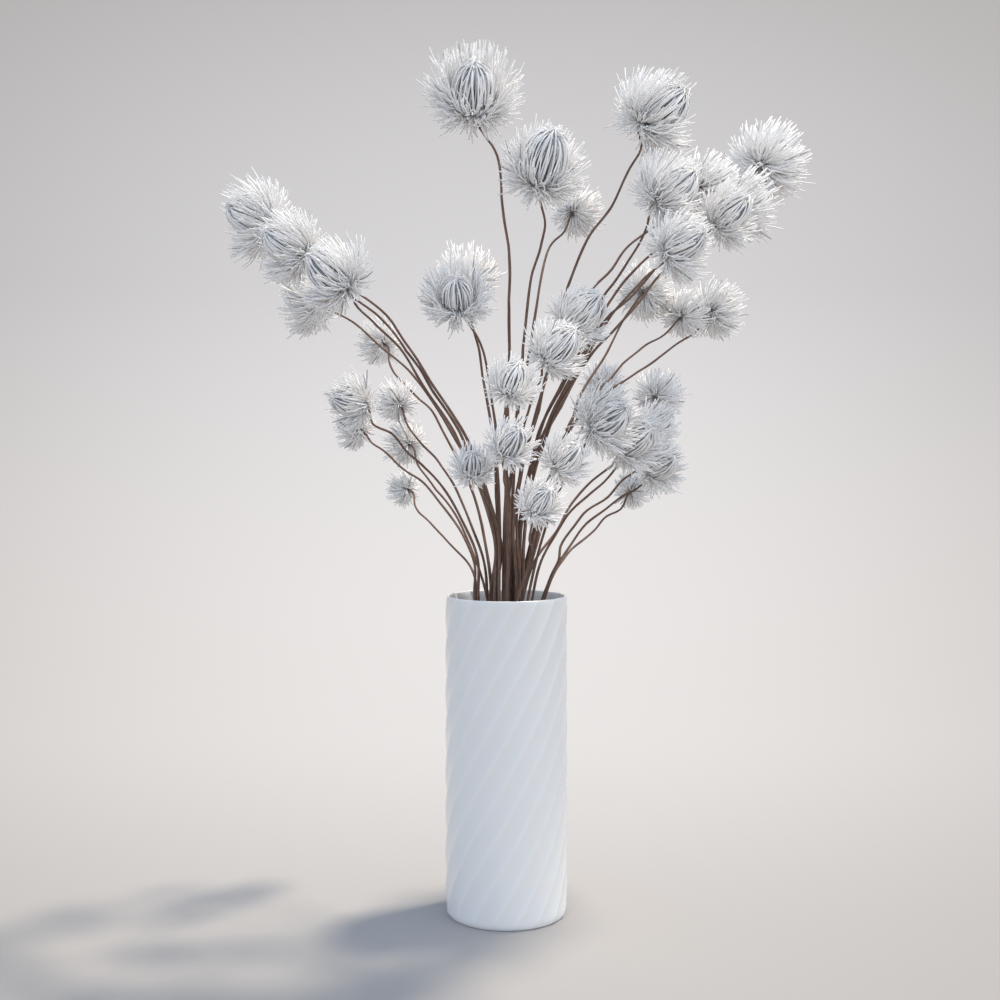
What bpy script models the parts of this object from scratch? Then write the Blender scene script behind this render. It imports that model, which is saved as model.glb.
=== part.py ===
"""Dried flower arrangement in a vase.

A tall white vase with shallow spiral flutes holds forked brown branches, and every twig ends in a
bristly white bloom: an ovoid dome of incurved strands with fine bristles standing out around it.
Metres, +Z up. The origin is the middle of the vase's foot, and -Y is the front.
"""

import math
import random
from collections import namedtuple

import bmesh
import bpy
import numpy as np
from mathutils import Vector

# Vase
VASE_HEIGHT = 0.300
VASE_RADIUS = 0.0575
FOOT_RADIUS = 0.0535
FOOT_ROUND = 0.008
FOOT_STEPS = 3
WALL = 0.0025
FLOOR = 0.006
FLUTES = 17
FLUTE_DEPTH = 0.0012
FLUTE_TURN = math.radians(173)
COLUMNS_PER_FLUTE = 3
BODY_ROWS = 10

# Stems
GAP = 0.0003
STEM_RADIUS_LEAST = 0.00115
STEM_RADIUS_MOST = 0.0023
STEM_TAPER = 0.0026
NECK_HEIGHT = VASE_HEIGHT
NECK_REACH = 0.037
NECK_SPACING = 0.0056
WAIST_HEIGHT = 0.230
WAIST_DRAW_IN = 0.34
FOOT_DRAW_IN = 0.08
FOOT_STRAIGHT = 0.012
SEAT_STRAIGHT = 0.006
STEM_CLEARANCE = 0.0012
STEM_SIDES_RESOLUTION = 0
NECK_ROUNDS = 200
NECK_STEP = 0.25
EASE_ROUNDS = 400
EASE_STEP = 0.4
EASE_ENOUGH = 0.0001

# Blooms, as shares of a bloom's width across its bristles
SEAT_SHARE = 0.032
DOME_RINGS = ((0.15, 0.035), (0.225, 0.15), (0.215, 0.32), (0.125, 0.47))
DOME_TIP = 0.55
DOME_RIB = 0.07
BRISTLE_CENTRE = 0.24
BRISTLE_REACH = 0.49
# The band of the dome that carries a tier, bristles on every nth face of it, and the lift of the tips
BRISTLE_TIERS = ((0, 1, math.radians(-20)), (1, 1, math.radians(14)), (2, 2, math.radians(48)))
TIER_JITTER = math.radians(9)
SIDE_JITTER = math.radians(7)
BRISTLE_ROOT = 0.0007
BRISTLE_CLEARANCE = 0.0006
BRISTLE_SUNK = 0.15
BRISTLE_SHORTEST = 0.3
BRISTLE_LOOSEST = 4
BRISTLE_SHORTEN_AFTER = 0.3
BRISTLE_TRIES = 40
LARGE_BLOOM = 0.066
MIDDLE_BLOOM = 0.054
COLUMNS = {"large": 12, "middle": 10, "small": 8}
SEED = 7

# One row a bloom: where its stem ends, its width across, the way it faces, the bloom whose branch
# its twig grows from (None for a branch of its own) and the height of that fork.
Bloom = namedtuple("Bloom", "name seat across faces fork_on fork_height")
BLOOMS = (
    Bloom("top_1", (-0.030, -0.08, 0.745), 0.093, (0.07, -0.67, 0.74), None, None),
    Bloom("top_2", (0.029, -0.10, 0.675), 0.083, (0.24, -0.58, 0.78), None, None),
    Bloom("top_3", (0.064, 0.02, 0.665), 0.057, (0.37, 0.77, 0.52), "top_2", 0.49),
    Bloom("right_1", (0.129, -0.02, 0.743), 0.091, (0.76, -0.26, 0.60), None, None),
    Bloom("right_2", (0.138, -0.06, 0.664), 0.081, (0.78, -0.26, 0.58), None, None),
    Bloom("right_3", (0.143, -0.10, 0.611), 0.070, (0.80, -0.43, 0.42), None, None),
    Bloom("right_4", (0.259, 0.10, 0.726), 0.092, (0.62, 0.51, 0.59), None, None),
    Bloom("right_5", (0.227, 0.06, 0.675), 0.079, (0.83, 0.23, 0.51), "right_4", 0.50),
    Bloom("right_6", (0.202, 0.00, 0.653), 0.071, (0.68, -0.45, 0.58), "right_3", 0.50),
    Bloom("right_7", (0.189, 0.04, 0.691), 0.073, (0.69, 0.47, 0.55), "right_2", 0.50),
    Bloom("left_1", (-0.230, 0.02, 0.654), 0.085, (-0.86, -0.26, 0.45), None, None),
    Bloom("left_2", (-0.188, -0.05, 0.618), 0.075, (-0.80, -0.41, 0.44), None, None),
    Bloom("left_3", (-0.141, -0.11, 0.581), 0.074, (-0.74, -0.25, 0.62), "left_2", 0.40),
    Bloom("left_4", (-0.189, 0.08, 0.583), 0.075, (-0.86, 0.23, 0.46), "left_1", 0.41),
    Bloom("inner_1", (-0.043, -0.10, 0.565), 0.070, (-0.02, -0.72, 0.70), None, None),
    Bloom("inner_2", (-0.037, -0.01, 0.595), 0.066, (-0.01, 0.58, 0.81), "inner_1", 0.43),
    Bloom("low_left_1", (-0.128, 0.14, 0.549), 0.055, (-0.68, 0.60, 0.42), None, None),
    Bloom("low_left_2", (-0.136, -0.02, 0.480), 0.058, (-0.85, -0.48, 0.22), None, None),
    Bloom("low_left_3", (-0.145, 0.06, 0.457), 0.050, (-0.85, 0.24, 0.47), "low_left_2", 0.33),
    Bloom("low_left_4", (-0.109, 0.10, 0.484), 0.049, (-0.53, 0.62, 0.58), "low_left_1", 0.33),
    Bloom("low_left_5", (-0.100, 0.12, 0.443), 0.050, (-0.64, 0.70, 0.32), None, None),
    Bloom("low_left_6", (-0.103, 0.14, 0.396), 0.042, (-0.75, 0.57, 0.32), "low_left_2", 0.305),
    Bloom("front_1", (0.058, -0.07, 0.550), 0.065, (0.65, -0.38, 0.66), None, None),
    Bloom("front_2", (0.036, -0.13, 0.517), 0.061, (0.63, -0.41, 0.66), "front_1", 0.41),
    Bloom("front_3", (0.002, -0.16, 0.487), 0.052, (0.31, -0.41, 0.86), None, None),
    Bloom("front_4", (0.000, -0.18, 0.438), 0.049, (0.40, -0.62, 0.67), "front_3", 0.36),
    Bloom("front_5", (-0.029, -0.15, 0.419), 0.044, (0.02, -0.57, 0.82), None, None),
    Bloom("front_6", (0.045, -0.14, 0.425), 0.051, (0.63, -0.47, 0.62), None, None),
    Bloom("front_7", (0.024, -0.18, 0.391), 0.047, (0.43, -0.66, 0.61), "front_6", 0.335),
    Bloom("mid_right_1", (0.142, 0.12, 0.600), 0.067, (0.28, 0.90, 0.33), "mid_right_3", 0.45),
    Bloom("mid_right_2", (0.181, 0.12, 0.575), 0.057, (0.57, 0.61, 0.55), "mid_right_3", 0.43),
    Bloom("mid_right_3", (0.215, 0.14, 0.581), 0.068, (0.83, 0.38, 0.41), None, None),
    Bloom("low_right_1", (0.097, 0.10, 0.503), 0.049, (0.20, 0.83, 0.53), None, None),
    Bloom("low_right_2", (0.156, 0.13, 0.492), 0.060, (0.38, 0.82, 0.43), "low_right_1", 0.325),
    Bloom("low_right_3", (0.081, -0.08, 0.460), 0.071, (0.72, -0.54, 0.43), None, None),
    Bloom("low_right_4", (0.110, -0.03, 0.443), 0.069, (0.63, -0.66, 0.40), "low_right_3", 0.33),
    Bloom("low_right_5", (0.144, 0.07, 0.457), 0.055, (0.77, 0.33, 0.55), "low_right_6", 0.33),
    Bloom("low_right_6", (0.142, 0.02, 0.419), 0.058, (0.58, -0.74, 0.34), None, None),
    Bloom("low_right_7", (0.126, 0.09, 0.395), 0.043, (0.48, 0.80, 0.37), "low_right_6", 0.315),
)

# Where each stem bends between the vase's mouth, or its fork, and its bloom
BENDS = {
    "top_1": ((-0.001, -0.02, 0.419), (0.002, -0.04, 0.529), (0.003, -0.05, 0.588),
        (-0.003, -0.065, 0.658), (-0.005, -0.07, 0.681), (-0.009, -0.074, 0.7), (-0.02, -0.078, 0.717)),
    "top_2": ((0.006, -0.02, 0.409), (0.017, -0.05, 0.542), (0.021, -0.06, 0.582), (0.03, -0.08, 0.622),
        (0.033, -0.088, 0.639), (0.029, -0.097, 0.657)),
    "top_3": ((0.025, -0.03, 0.551), (0.031, -0.02, 0.587), (0.036, -0.01, 0.611), (0.042, 0, 0.633),
        (0.056, 0.01, 0.647)),
    "right_1": ((0.014, 0, 0.409), (0.032, 0, 0.485), (0.047, 0, 0.551), (0.062, -0.005, 0.6),
        (0.077, -0.01, 0.637), (0.097, -0.015, 0.664), (0.114, -0.02, 0.697), (0.126, -0.02, 0.72)),
    "right_2": ((0.018, 0, 0.411), (0.037, 0, 0.468), (0.063, -0.01, 0.516), (0.09, -0.03, 0.58),
        (0.111, -0.045, 0.609), (0.127, -0.055, 0.639)),
    "right_7": ((0.081, 0, 0.591), (0.101, 0.01, 0.611), (0.117, 0.02, 0.633), (0.139, 0.03, 0.651),
        (0.169, 0.035, 0.671)),
    "right_4": ((0.024, 0.01, 0.418), (0.045, 0.02, 0.474), (0.072, 0.03, 0.525), (0.109, 0.04, 0.594),
        (0.134, 0.05, 0.622), (0.174, 0.07, 0.655), (0.222, 0.09, 0.691)),
    "right_5": ((0.102, 0.04, 0.569), (0.134, 0.045, 0.603), (0.171, 0.05, 0.634), (0.206, 0.055, 0.657)),
    "right_3": ((0.021, -0.01, 0.409), (0.041, -0.02, 0.468), (0.066, -0.04, 0.514), (0.091, -0.06, 0.558),
        (0.119, -0.08, 0.582), (0.134, -0.09, 0.602)),
    "right_6": ((0.09, -0.03, 0.539), (0.115, -0.025, 0.565), (0.14, -0.015, 0.596), (0.168, -0.01, 0.624)),
    "left_1": ((-0.005, 0, 0.347), (-0.019, 0, 0.4), (-0.039, 0, 0.45), (-0.072, 0.005, 0.503),
        (-0.099, 0.01, 0.545), (-0.117, 0.012, 0.569), (-0.152, 0.015, 0.595), (-0.198, 0.02, 0.628)),
    "left_2": ((-0.007, -0.01, 0.345), (-0.023, -0.01, 0.4), (-0.043, -0.01, 0.45),
        (-0.073, -0.015, 0.498), (-0.099, -0.02, 0.539), (-0.117, -0.025, 0.559), (-0.149, -0.035, 0.585)),
    "left_3": ((-0.046, -0.03, 0.449), (-0.073, -0.05, 0.492), (-0.096, -0.07, 0.53),
        (-0.119, -0.085, 0.551), (-0.133, -0.095, 0.565)),
    "left_4": ((-0.049, 0.02, 0.447), (-0.072, 0.03, 0.486), (-0.093, 0.045, 0.513), (-0.127, 0.06, 0.542),
        (-0.147, 0.065, 0.56), (-0.171, 0.075, 0.575)),
    "inner_1": ((-0.006, -0.01, 0.39), (-0.009, -0.02, 0.437), (-0.012, -0.03, 0.47),
        (-0.017, -0.05, 0.506), (-0.02, -0.065, 0.525), (-0.025, -0.075, 0.537), (-0.035, -0.085, 0.551)),
    "inner_2": ((-0.015, -0.015, 0.466), (-0.021, -0.01, 0.503), (-0.026, -0.01, 0.531),
        (-0.032, -0.01, 0.555)),
    "low_left_1": ((-0.016, 0.01, 0.323), (-0.023, 0.025, 0.36), (-0.034, 0.04, 0.401),
        (-0.05, 0.06, 0.435), (-0.063, 0.07, 0.457), (-0.075, 0.08, 0.477), (-0.095, 0.1, 0.496),
        (-0.11, 0.11, 0.512), (-0.121, 0.125, 0.53)),
    "low_left_4": ((-0.032, 0.03, 0.36), (-0.049, 0.05, 0.398), (-0.058, 0.055, 0.414),
        (-0.069, 0.065, 0.43), (-0.085, 0.075, 0.445), (-0.102, 0.09, 0.468)),
    "low_left_2": ((-0.027, -0.005, 0.334), (-0.042, -0.01, 0.371), (-0.058, -0.012, 0.4),
        (-0.079, -0.015, 0.425), (-0.093, -0.018, 0.436), (-0.106, -0.02, 0.451), (-0.125, -0.02, 0.462)),
    "low_left_3": ((-0.04, 0.005, 0.354), (-0.063, 0.02, 0.386), (-0.081, 0.03, 0.406),
        (-0.106, 0.045, 0.423), (-0.121, 0.05, 0.437), (-0.134, 0.055, 0.446)),
    "low_left_5": ((-0.035, 0.03, 0.345), (-0.06, 0.07, 0.387), (-0.074, 0.085, 0.403),
        (-0.091, 0.105, 0.424)),
    "low_left_6": ((-0.059, 0.06, 0.348), (-0.077, 0.085, 0.365),
        (-0.094, 0.12, 0.381)),
    "front_1": ((0.011, -0.02, 0.400), (0.026, -0.03, 0.463), (0.04, -0.05, 0.509), (0.051, -0.06, 0.533)),
    "front_2": ((0.013, -0.06, 0.442), (0.021, -0.09, 0.477), (0.03, -0.11, 0.5)),
    "front_3": ((0.002, -0.04, 0.392), (-0.002, -0.08, 0.437), (-0.001, -0.13, 0.47)),
    "front_4": ((0, -0.1, 0.402), (-0.003, -0.15, 0.422)),
    "front_5": ((-0.008, -0.04, 0.364), (-0.017, -0.09, 0.391), (-0.024, -0.13, 0.407)),
    "front_6": ((0.023, -0.02, 0.335), (0.03, -0.07, 0.375), (0.037, -0.11, 0.404)),
    "front_7": ((0.02, -0.1, 0.359), (0.021, -0.15, 0.376)),
    "mid_right_3": ((0.024, 0.01, 0.352), (0.042, 0.03, 0.413), (0.061, 0.05, 0.455),
        (0.083, 0.065, 0.483), (0.112, 0.08, 0.503), (0.142, 0.1, 0.521), (0.174, 0.12, 0.545),
        (0.199, 0.13, 0.561)),
    "mid_right_2": ((0.059, 0.045, 0.455), (0.07, 0.055, 0.476), (0.097, 0.07, 0.502),
        (0.126, 0.09, 0.531), (0.142, 0.1, 0.544), (0.162, 0.11, 0.555)),
    "mid_right_1": ((0.071, 0.06, 0.487), (0.097, 0.08, 0.528), (0.121, 0.1, 0.572)),
    "low_right_1": ((0.026, 0.01, 0.337), (0.041, 0.04, 0.384), (0.059, 0.06, 0.425), (0.077, 0.08, 0.458),
        (0.089, 0.095, 0.486)),
    "low_right_2": ((0.051, 0.04, 0.361), (0.063, 0.06, 0.381), (0.084, 0.08, 0.404), (0.11, 0.1, 0.424),
        (0.135, 0.12, 0.456)),
    "low_right_3": ((0.028, -0.02, 0.335), (0.038, -0.04, 0.371), (0.05, -0.055, 0.405),
        (0.068, -0.07, 0.437)),
    "low_right_4": ((0.048, -0.025, 0.363), (0.061, -0.025, 0.382), (0.078, -0.025, 0.398),
        (0.092, -0.025, 0.41), (0.103, -0.03, 0.425)),
    "low_right_6": ((0.046, 0, 0.324), (0.061, 0.005, 0.347), (0.075, 0.01, 0.366), (0.094, 0.012, 0.38),
        (0.109, 0.015, 0.391), (0.129, 0.018, 0.403)),
    "low_right_5": ((0.053, 0.02, 0.346), (0.067, 0.03, 0.365), (0.077, 0.035, 0.377),
        (0.099, 0.045, 0.391), (0.114, 0.05, 0.407), (0.135, 0.06, 0.422)),
    "low_right_7": ((0.055, 0.03, 0.331), (0.064, 0.04, 0.341), (0.075, 0.045, 0.349),
        (0.088, 0.055, 0.359), (0.098, 0.065, 0.37), (0.117, 0.08, 0.38)),
}


def clear_scene():
    for obj in list(bpy.data.objects):
        bpy.data.objects.remove(obj, do_unlink=True)


def make_collection(name):
    collection = bpy.data.collections.new(name)
    bpy.context.scene.collection.children.link(collection)
    return collection


def make_material(name, colour, roughness, metallic=0.0):
    material = bpy.data.materials.new(name)
    material.use_nodes = True
    shader = material.node_tree.nodes["Principled BSDF"]
    shader.inputs["Base Color"].default_value = (*colour, 1.0)
    shader.inputs["Roughness"].default_value = roughness
    shader.inputs["Metallic"].default_value = metallic
    return material


def add_object(name, mesh, material, collection):
    obj = bpy.data.objects.new(name, mesh)
    mesh.materials.append(material)
    collection.objects.link(obj)
    return obj


def mesh_from(bm, name):
    bmesh.ops.recalc_face_normals(bm, faces=bm.faces)
    mesh = bpy.data.meshes.new(name)
    bm.to_mesh(mesh)
    bm.free()
    return mesh


def next_ring(bm, edges):
    """Extrude a closed ring of edges in place, and return the new ring's edges, vertices and faces."""
    grown = bmesh.ops.extrude_edge_only(bm, edges=edges)["geom"]
    verts = [item for item in grown if isinstance(item, bmesh.types.BMVert)]
    faces = [item for item in grown if isinstance(item, bmesh.types.BMFace)]
    rim = [item for item in grown if isinstance(item, bmesh.types.BMEdge)
           and all(vert in verts for vert in item.verts)]
    return rim, verts, faces


# Vase

def vase_rings():
    """Radius, height and share of the flutes' depth of each ring, from the foot to the rim."""
    rings = []
    for step in range(FOOT_STEPS + 1):
        angle = math.pi / 2 * step / FOOT_STEPS
        radius = FOOT_RADIUS + (VASE_RADIUS - FOOT_RADIUS) * math.sin(angle)
        rings.append((radius, FOOT_ROUND * (1 - math.cos(angle)), step / FOOT_STEPS))
    shoulder = VASE_HEIGHT - WALL / 2
    for row in range(1, BODY_ROWS + 1):
        rings.append((VASE_RADIUS, FOOT_ROUND + (shoulder - FOOT_ROUND) * row / BODY_ROWS, 1.0))
    return rings


def vase_lining():
    """Radius and height of each ring from the rim's crest down to the inner floor."""
    inner = VASE_RADIUS - FLUTE_DEPTH - WALL
    return (
        (VASE_RADIUS - FLUTE_DEPTH - WALL / 2, VASE_HEIGHT),
        (inner, VASE_HEIGHT - WALL / 2),
        (inner, FLOOR + WALL),
        (inner - WALL, FLOOR),
    )


def hollow_of_flute(angle):
    """0 on the sharp arris between two flutes, 1 in the middle of a flute."""
    phase = (angle * FLUTES / math.tau) % 1.0
    return 4 * phase * (1 - phase)


def vase_mesh():
    bm = bmesh.new()
    columns = FLUTES * COLUMNS_PER_FLUTE
    bmesh.ops.create_circle(bm, segments=columns, radius=1.0)
    edges = list(bm.edges)
    bmesh.ops.edgeloop_fill(bm, edges=edges)
    verts = list(bm.verts)
    rings = [(radius, height, relief, height) for radius, height, relief in vase_rings()]
    rings += [(radius, height, 0.0, VASE_HEIGHT) for radius, height in vase_lining()]
    for index, (radius, height, relief, turned_to) in enumerate(rings):
        if index:
            edges, verts, _ = next_ring(bm, edges)
        turn = FLUTE_TURN * turned_to / VASE_HEIGHT
        before = FLUTE_TURN * rings[max(index - 1, 0)][3] / VASE_HEIGHT if index else 0.0
        for vert in verts:
            angle = math.atan2(vert.co.y, vert.co.x) - before
            reach = radius - relief * FLUTE_DEPTH * hollow_of_flute(angle + 1e-6)
            vert.co = (reach * math.cos(angle + turn), reach * math.sin(angle + turn), height)
    bmesh.ops.edgeloop_fill(bm, edges=edges)
    return mesh_from(bm, "vase")


# Distances between straight stretches

def nearest(start_a, end_a, start_b, end_b):
    """The gap vector from a to b where two stretches lie nearest, and the share along each, by rows."""
    run_a, run_b, between = end_a - start_a, end_b - start_b, start_b - start_a
    aa = (run_a * run_a).sum(-1)
    bb = (run_b * run_b).sum(-1)
    ab = (run_a * run_b).sum(-1)
    a_between = (run_a * between).sum(-1)
    b_between = (run_b * between).sum(-1)
    spread = np.maximum(aa * bb - ab * ab, 1e-18)
    share_a = np.clip((a_between * bb - b_between * ab) / spread, 0, 1)
    share_b = np.clip((share_a * ab - b_between) / np.maximum(bb, 1e-18), 0, 1)
    share_a = np.clip((share_b * ab + a_between) / np.maximum(aa, 1e-18), 0, 1)
    gap = between + share_b[..., None] * run_b - share_a[..., None] * run_a
    return gap, share_a, share_b


# Stems

def unit(vector):
    vector = np.asarray(vector, float)
    return vector / np.linalg.norm(vector)


def neck_places():
    """Where each branch passes the vase's mouth: tall ones inside, each on the side its bloom is on."""
    mains = [bloom for bloom in BLOOMS if bloom.fork_on is None]
    order = sorted(range(len(mains)), key=lambda index: -mains[index].seat[2])
    places = np.zeros((len(mains), 2))
    for rank, index in enumerate(order):
        places[index] = NECK_REACH * (rank + 0.5) / len(mains) * unit(mains[index].seat[:2])
    for _ in range(NECK_ROUNDS):
        gap = places[:, None] - places[None]
        distance = np.linalg.norm(gap, axis=-1) + np.eye(len(mains))
        short = np.clip(NECK_SPACING - distance, 0, None) * (1 - np.eye(len(mains)))
        places = places + NECK_STEP * (gap / distance[..., None] * short[..., None]).sum(1)
        reach = np.linalg.norm(places, axis=1, keepdims=True)
        places = places * np.minimum(1, NECK_REACH / reach)
    return {bloom.name: place for bloom, place in zip(mains, places)}


def bends_of(bloom):
    return [np.array(bend) for bend in BENDS[bloom.name]]


def seat_end(bloom):
    """The last two points of a stem: a short straight run square to the bloom's flat seat."""
    way = unit(bloom.faces)
    seat = np.array(bloom.seat)
    return [seat - (SEAT_STRAIGHT + GAP) * way, seat - GAP * way]


def branch_route(bloom, place):
    """A branch from the vase's floor, through its mouth, to its bloom."""
    outside = np.linalg.norm(place) / NECK_REACH
    foot = np.array((*((1 - FOOT_DRAW_IN * outside) * place), FLOOR + GAP))
    waist = np.array((*((1 - WAIST_DRAW_IN * outside) * place), WAIST_HEIGHT))
    neck = np.array((*place, NECK_HEIGHT))
    rise = np.array((0, 0, FOOT_STRAIGHT))
    return [foot, foot + rise, waist, neck] + bends_of(bloom) + seat_end(bloom)


def point_at(points, height):
    """Where a route passes a height, and the way it runs there."""
    for low, high in zip(points, points[1:]):
        if low[2] <= height < high[2]:
            share = (height - low[2]) / (high[2] - low[2])
            return low + share * (high - low), unit(high - low)
    raise ValueError(f"no point of the branch at height {height}")


def twig_route(bloom, parent):
    """A twig from the fork on its branch to its bloom."""
    return [point_at(parent, bloom.fork_height)[0]] + bends_of(bloom) + seat_end(bloom)


def dome_span(bloom):
    """The line inside a bloom's dome whose surroundings the dome fills, and how far it fills them."""
    seat, way = np.array(bloom.seat), unit(bloom.faces)
    radius = DOME_RINGS[1][0] * bloom.across
    return seat + radius * way, seat + (DOME_TIP * bloom.across - radius) * way, radius


def stem_radius(bloom, height):
    """A stem is thin under its bloom and thickens downwards, up to a limit."""
    return np.minimum(STEM_RADIUS_LEAST + STEM_TAPER * (bloom.seat[2] - height), STEM_RADIUS_MOST)


def shifts(points, low, high, reach, others, counts):
    """How far the points shift to keep their stretches off the others, and the worst shortfall."""
    other_low, other_high, other_reach = others
    gap, share, _ = nearest(points[low][:, None], points[high][:, None], other_low[None], other_high[None])
    distance = np.linalg.norm(gap, axis=-1)
    need = reach[:, None] + other_reach[None] + STEM_CLEARANCE
    short = np.where(counts, np.clip(need - distance, 0, None), 0)
    away = -gap / np.maximum(distance, 1e-9)[..., None] * short[..., None]
    shift = np.zeros_like(points)
    np.add.at(shift, low, ((1 - share)[..., None] * away).sum(1))
    np.add.at(shift, high, (share[..., None] * away).sum(1))
    return shift, short.max()


def ease_apart(routes):
    """Bend routes that pass too near each other, or too near a dome, until they are clear.

    A branch's two lowest points stay, and so do a twig's fork and every stem's straight end.
    """
    stems = [bloom for bloom in BLOOMS if bloom.name in routes]
    points = np.concatenate([np.array(routes[bloom.name]) for bloom in stems])
    counts = [len(routes[bloom.name]) for bloom in stems]
    starts = np.cumsum([0] + counts[:-1])
    low = np.concatenate([start + np.arange(count - 1) for start, count in zip(starts, counts)])
    high = low + 1
    owners = [bloom for bloom, count in zip(stems, counts) for _ in range(count - 1)]
    free = np.ones((len(points), 1))
    for bloom, start, count in zip(stems, starts, counts):
        free[start:start + (1 if bloom.fork_on else 2)] = 0
        free[start + count - 2:start + count] = 0
    trees = np.array([bloom.fork_on or bloom.name for bloom in owners])
    other_tree = trees[:, None] != trees[None]
    other_bloom = np.array([[bloom is not owner for bloom in BLOOMS] for owner in owners])
    domes = tuple(np.array(column) for column in zip(*(dome_span(bloom) for bloom in BLOOMS)))
    tops = np.array([bloom.seat[2] for bloom in owners])
    for _ in range(EASE_ROUNDS):
        middle = (points[low, 2] + points[high, 2]) / 2
        reach = np.minimum(STEM_RADIUS_LEAST + STEM_TAPER * (tops - middle), STEM_RADIUS_MOST)
        stretches = (points[low], points[high], reach)
        from_stems, worst_stem = shifts(points, low, high, reach, stretches, other_tree)
        from_domes, worst_dome = shifts(points, low, high, reach, domes, other_bloom)
        if max(worst_stem, worst_dome) < EASE_ENOUGH:
            break
        points = points + EASE_STEP * (from_stems + from_domes) * free
    return {bloom.name: points[start:start + count] for bloom, start, count in zip(stems, starts, counts)}


def all_routes():
    places = neck_places()
    routes = {}
    for bloom in BLOOMS:
        if bloom.fork_on is None:
            routes[bloom.name] = branch_route(bloom, places[bloom.name])
    for bloom in BLOOMS:
        if bloom.fork_on:
            routes[bloom.name] = twig_route(bloom, routes[bloom.fork_on])
    routes = ease_apart(routes)
    for bloom in BLOOMS:
        if bloom.fork_on:
            routes[bloom.name][0] = point_at(routes[bloom.fork_on], bloom.fork_height)[0]
    return routes


def tube_mesh(bloom, points, collection):
    """A bloom's stem as a tapering tube along the points, as a welded mesh."""
    name = f"stem_{bloom.name}"
    curve = bpy.data.curves.new(name, "CURVE")
    curve.dimensions = "3D"
    curve.bevel_depth = 1.0
    curve.bevel_resolution = STEM_SIDES_RESOLUTION
    curve.use_fill_caps = True
    spline = curve.splines.new("POLY")
    spline.points.add(len(points) - 1)
    for place, point in zip(spline.points, points):
        place.co = (*point, 1.0)
        place.radius = stem_radius(bloom, point[2])
    obj = bpy.data.objects.new(name, curve)
    collection.objects.link(obj)
    graph = bpy.context.evaluated_depsgraph_get()
    mesh = bpy.data.meshes.new_from_object(obj.evaluated_get(graph))
    bpy.data.objects.remove(obj, do_unlink=True)
    bm = bmesh.new()
    bm.from_mesh(mesh)
    bmesh.ops.remove_doubles(bm, verts=bm.verts, dist=0.00001)
    bm.to_mesh(mesh)
    bm.free()
    return mesh


def join_solids(base, extras):
    """Unite the extra solids with the base, apply it, and remove them."""
    for extra in extras:
        union = base.modifiers.new("union", "BOOLEAN")
        union.operation = "UNION"
        union.object = extra
    graph = bpy.context.evaluated_depsgraph_get()
    mesh = bpy.data.meshes.new_from_object(base.evaluated_get(graph))
    base.modifiers.clear()
    base.data = mesh
    for extra in extras:
        bpy.data.objects.remove(extra, do_unlink=True)


def make_stems(routes, material, collection):
    for bloom in BLOOMS:
        if bloom.fork_on is not None:
            continue
        mesh = tube_mesh(bloom, routes[bloom.name], collection)
        stem = add_object(f"stem_{bloom.name}", mesh, material, collection)
        twigs = []
        for twig in BLOOMS:
            if twig.fork_on == bloom.name:
                mesh = tube_mesh(twig, routes[twig.name], collection)
                twigs.append(add_object(f"twig_{twig.name}", mesh, material, collection))
        if twigs:
            join_solids(stem, twigs)


# Blooms

def columns_of(bloom):
    if bloom.across > LARGE_BLOOM:
        return COLUMNS["large"]
    return COLUMNS["middle"] if bloom.across > MIDDLE_BLOOM else COLUMNS["small"]


def dome_faces(bm, bloom):
    """Build the ribbed dome on its flat seat, and return the faces of each of its bands."""
    size, columns = bloom.across, columns_of(bloom)
    bmesh.ops.create_circle(bm, segments=columns, radius=SEAT_SHARE * size)
    edges = list(bm.edges)
    bmesh.ops.edgeloop_fill(bm, edges=edges)
    bands = []
    for radius, height in DOME_RINGS:
        edges, verts, faces = next_ring(bm, edges)
        for vert in verts:
            angle = math.atan2(vert.co.y, vert.co.x)
            odd = round(angle / math.tau * columns) % 2
            reach = radius * size * (1 - DOME_RIB * odd)
            vert.co = (reach * math.cos(angle), reach * math.sin(angle), height * size)
        bands.append(faces)
    top = bmesh.ops.edgeloop_fill(bm, edges=edges)["faces"]
    crown = bmesh.ops.poke(bm, faces=top)["verts"][0]
    crown.co = (0, 0, DOME_TIP * size)
    return bands


def bristle_tip(root, bloom, lift, side, length):
    """The far end of a bristle: on a sphere round the bloom's middle, lifted and turned as given."""
    angle = math.atan2(root.y, root.x) + side
    reach = BRISTLE_REACH * bloom.across
    tip = Vector((reach * math.cos(lift) * math.cos(angle), reach * math.cos(lift) * math.sin(angle),
                  BRISTLE_CENTRE * bloom.across + reach * math.sin(lift)))
    return root + length * (tip - root)


def clear_of(start, end, radius, things):
    """Whether a bristle keeps off everything: rows of start, end and radius."""
    gap, _, _ = nearest(np.array(start)[None], np.array(end)[None], things[:, 0:3], things[:, 3:6])
    return bool((np.linalg.norm(gap, axis=-1) > radius + things[:, 6] + BRISTLE_CLEARANCE).all())


def place_bristle(root, bloom, frame, lift, draw, things):
    """Try tips near the wanted one, then shorter ones, until the bristle is clear."""
    start = frame @ root
    for attempt in range(BRISTLE_TRIES):
        share = attempt / BRISTLE_TRIES
        loose = 1 + (BRISTLE_LOOSEST - 1) * share
        length = 1 - (1 - BRISTLE_SHORTEST) * max(0, share - BRISTLE_SHORTEN_AFTER)
        tip = bristle_tip(root, bloom, lift + loose * draw.uniform(-TIER_JITTER, TIER_JITTER),
                          loose * draw.uniform(-SIDE_JITTER, SIDE_JITTER), length)
        if clear_of(start.lerp(frame @ tip, BRISTLE_SUNK), frame @ tip, BRISTLE_ROOT, things):
            return tip
    return None


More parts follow.
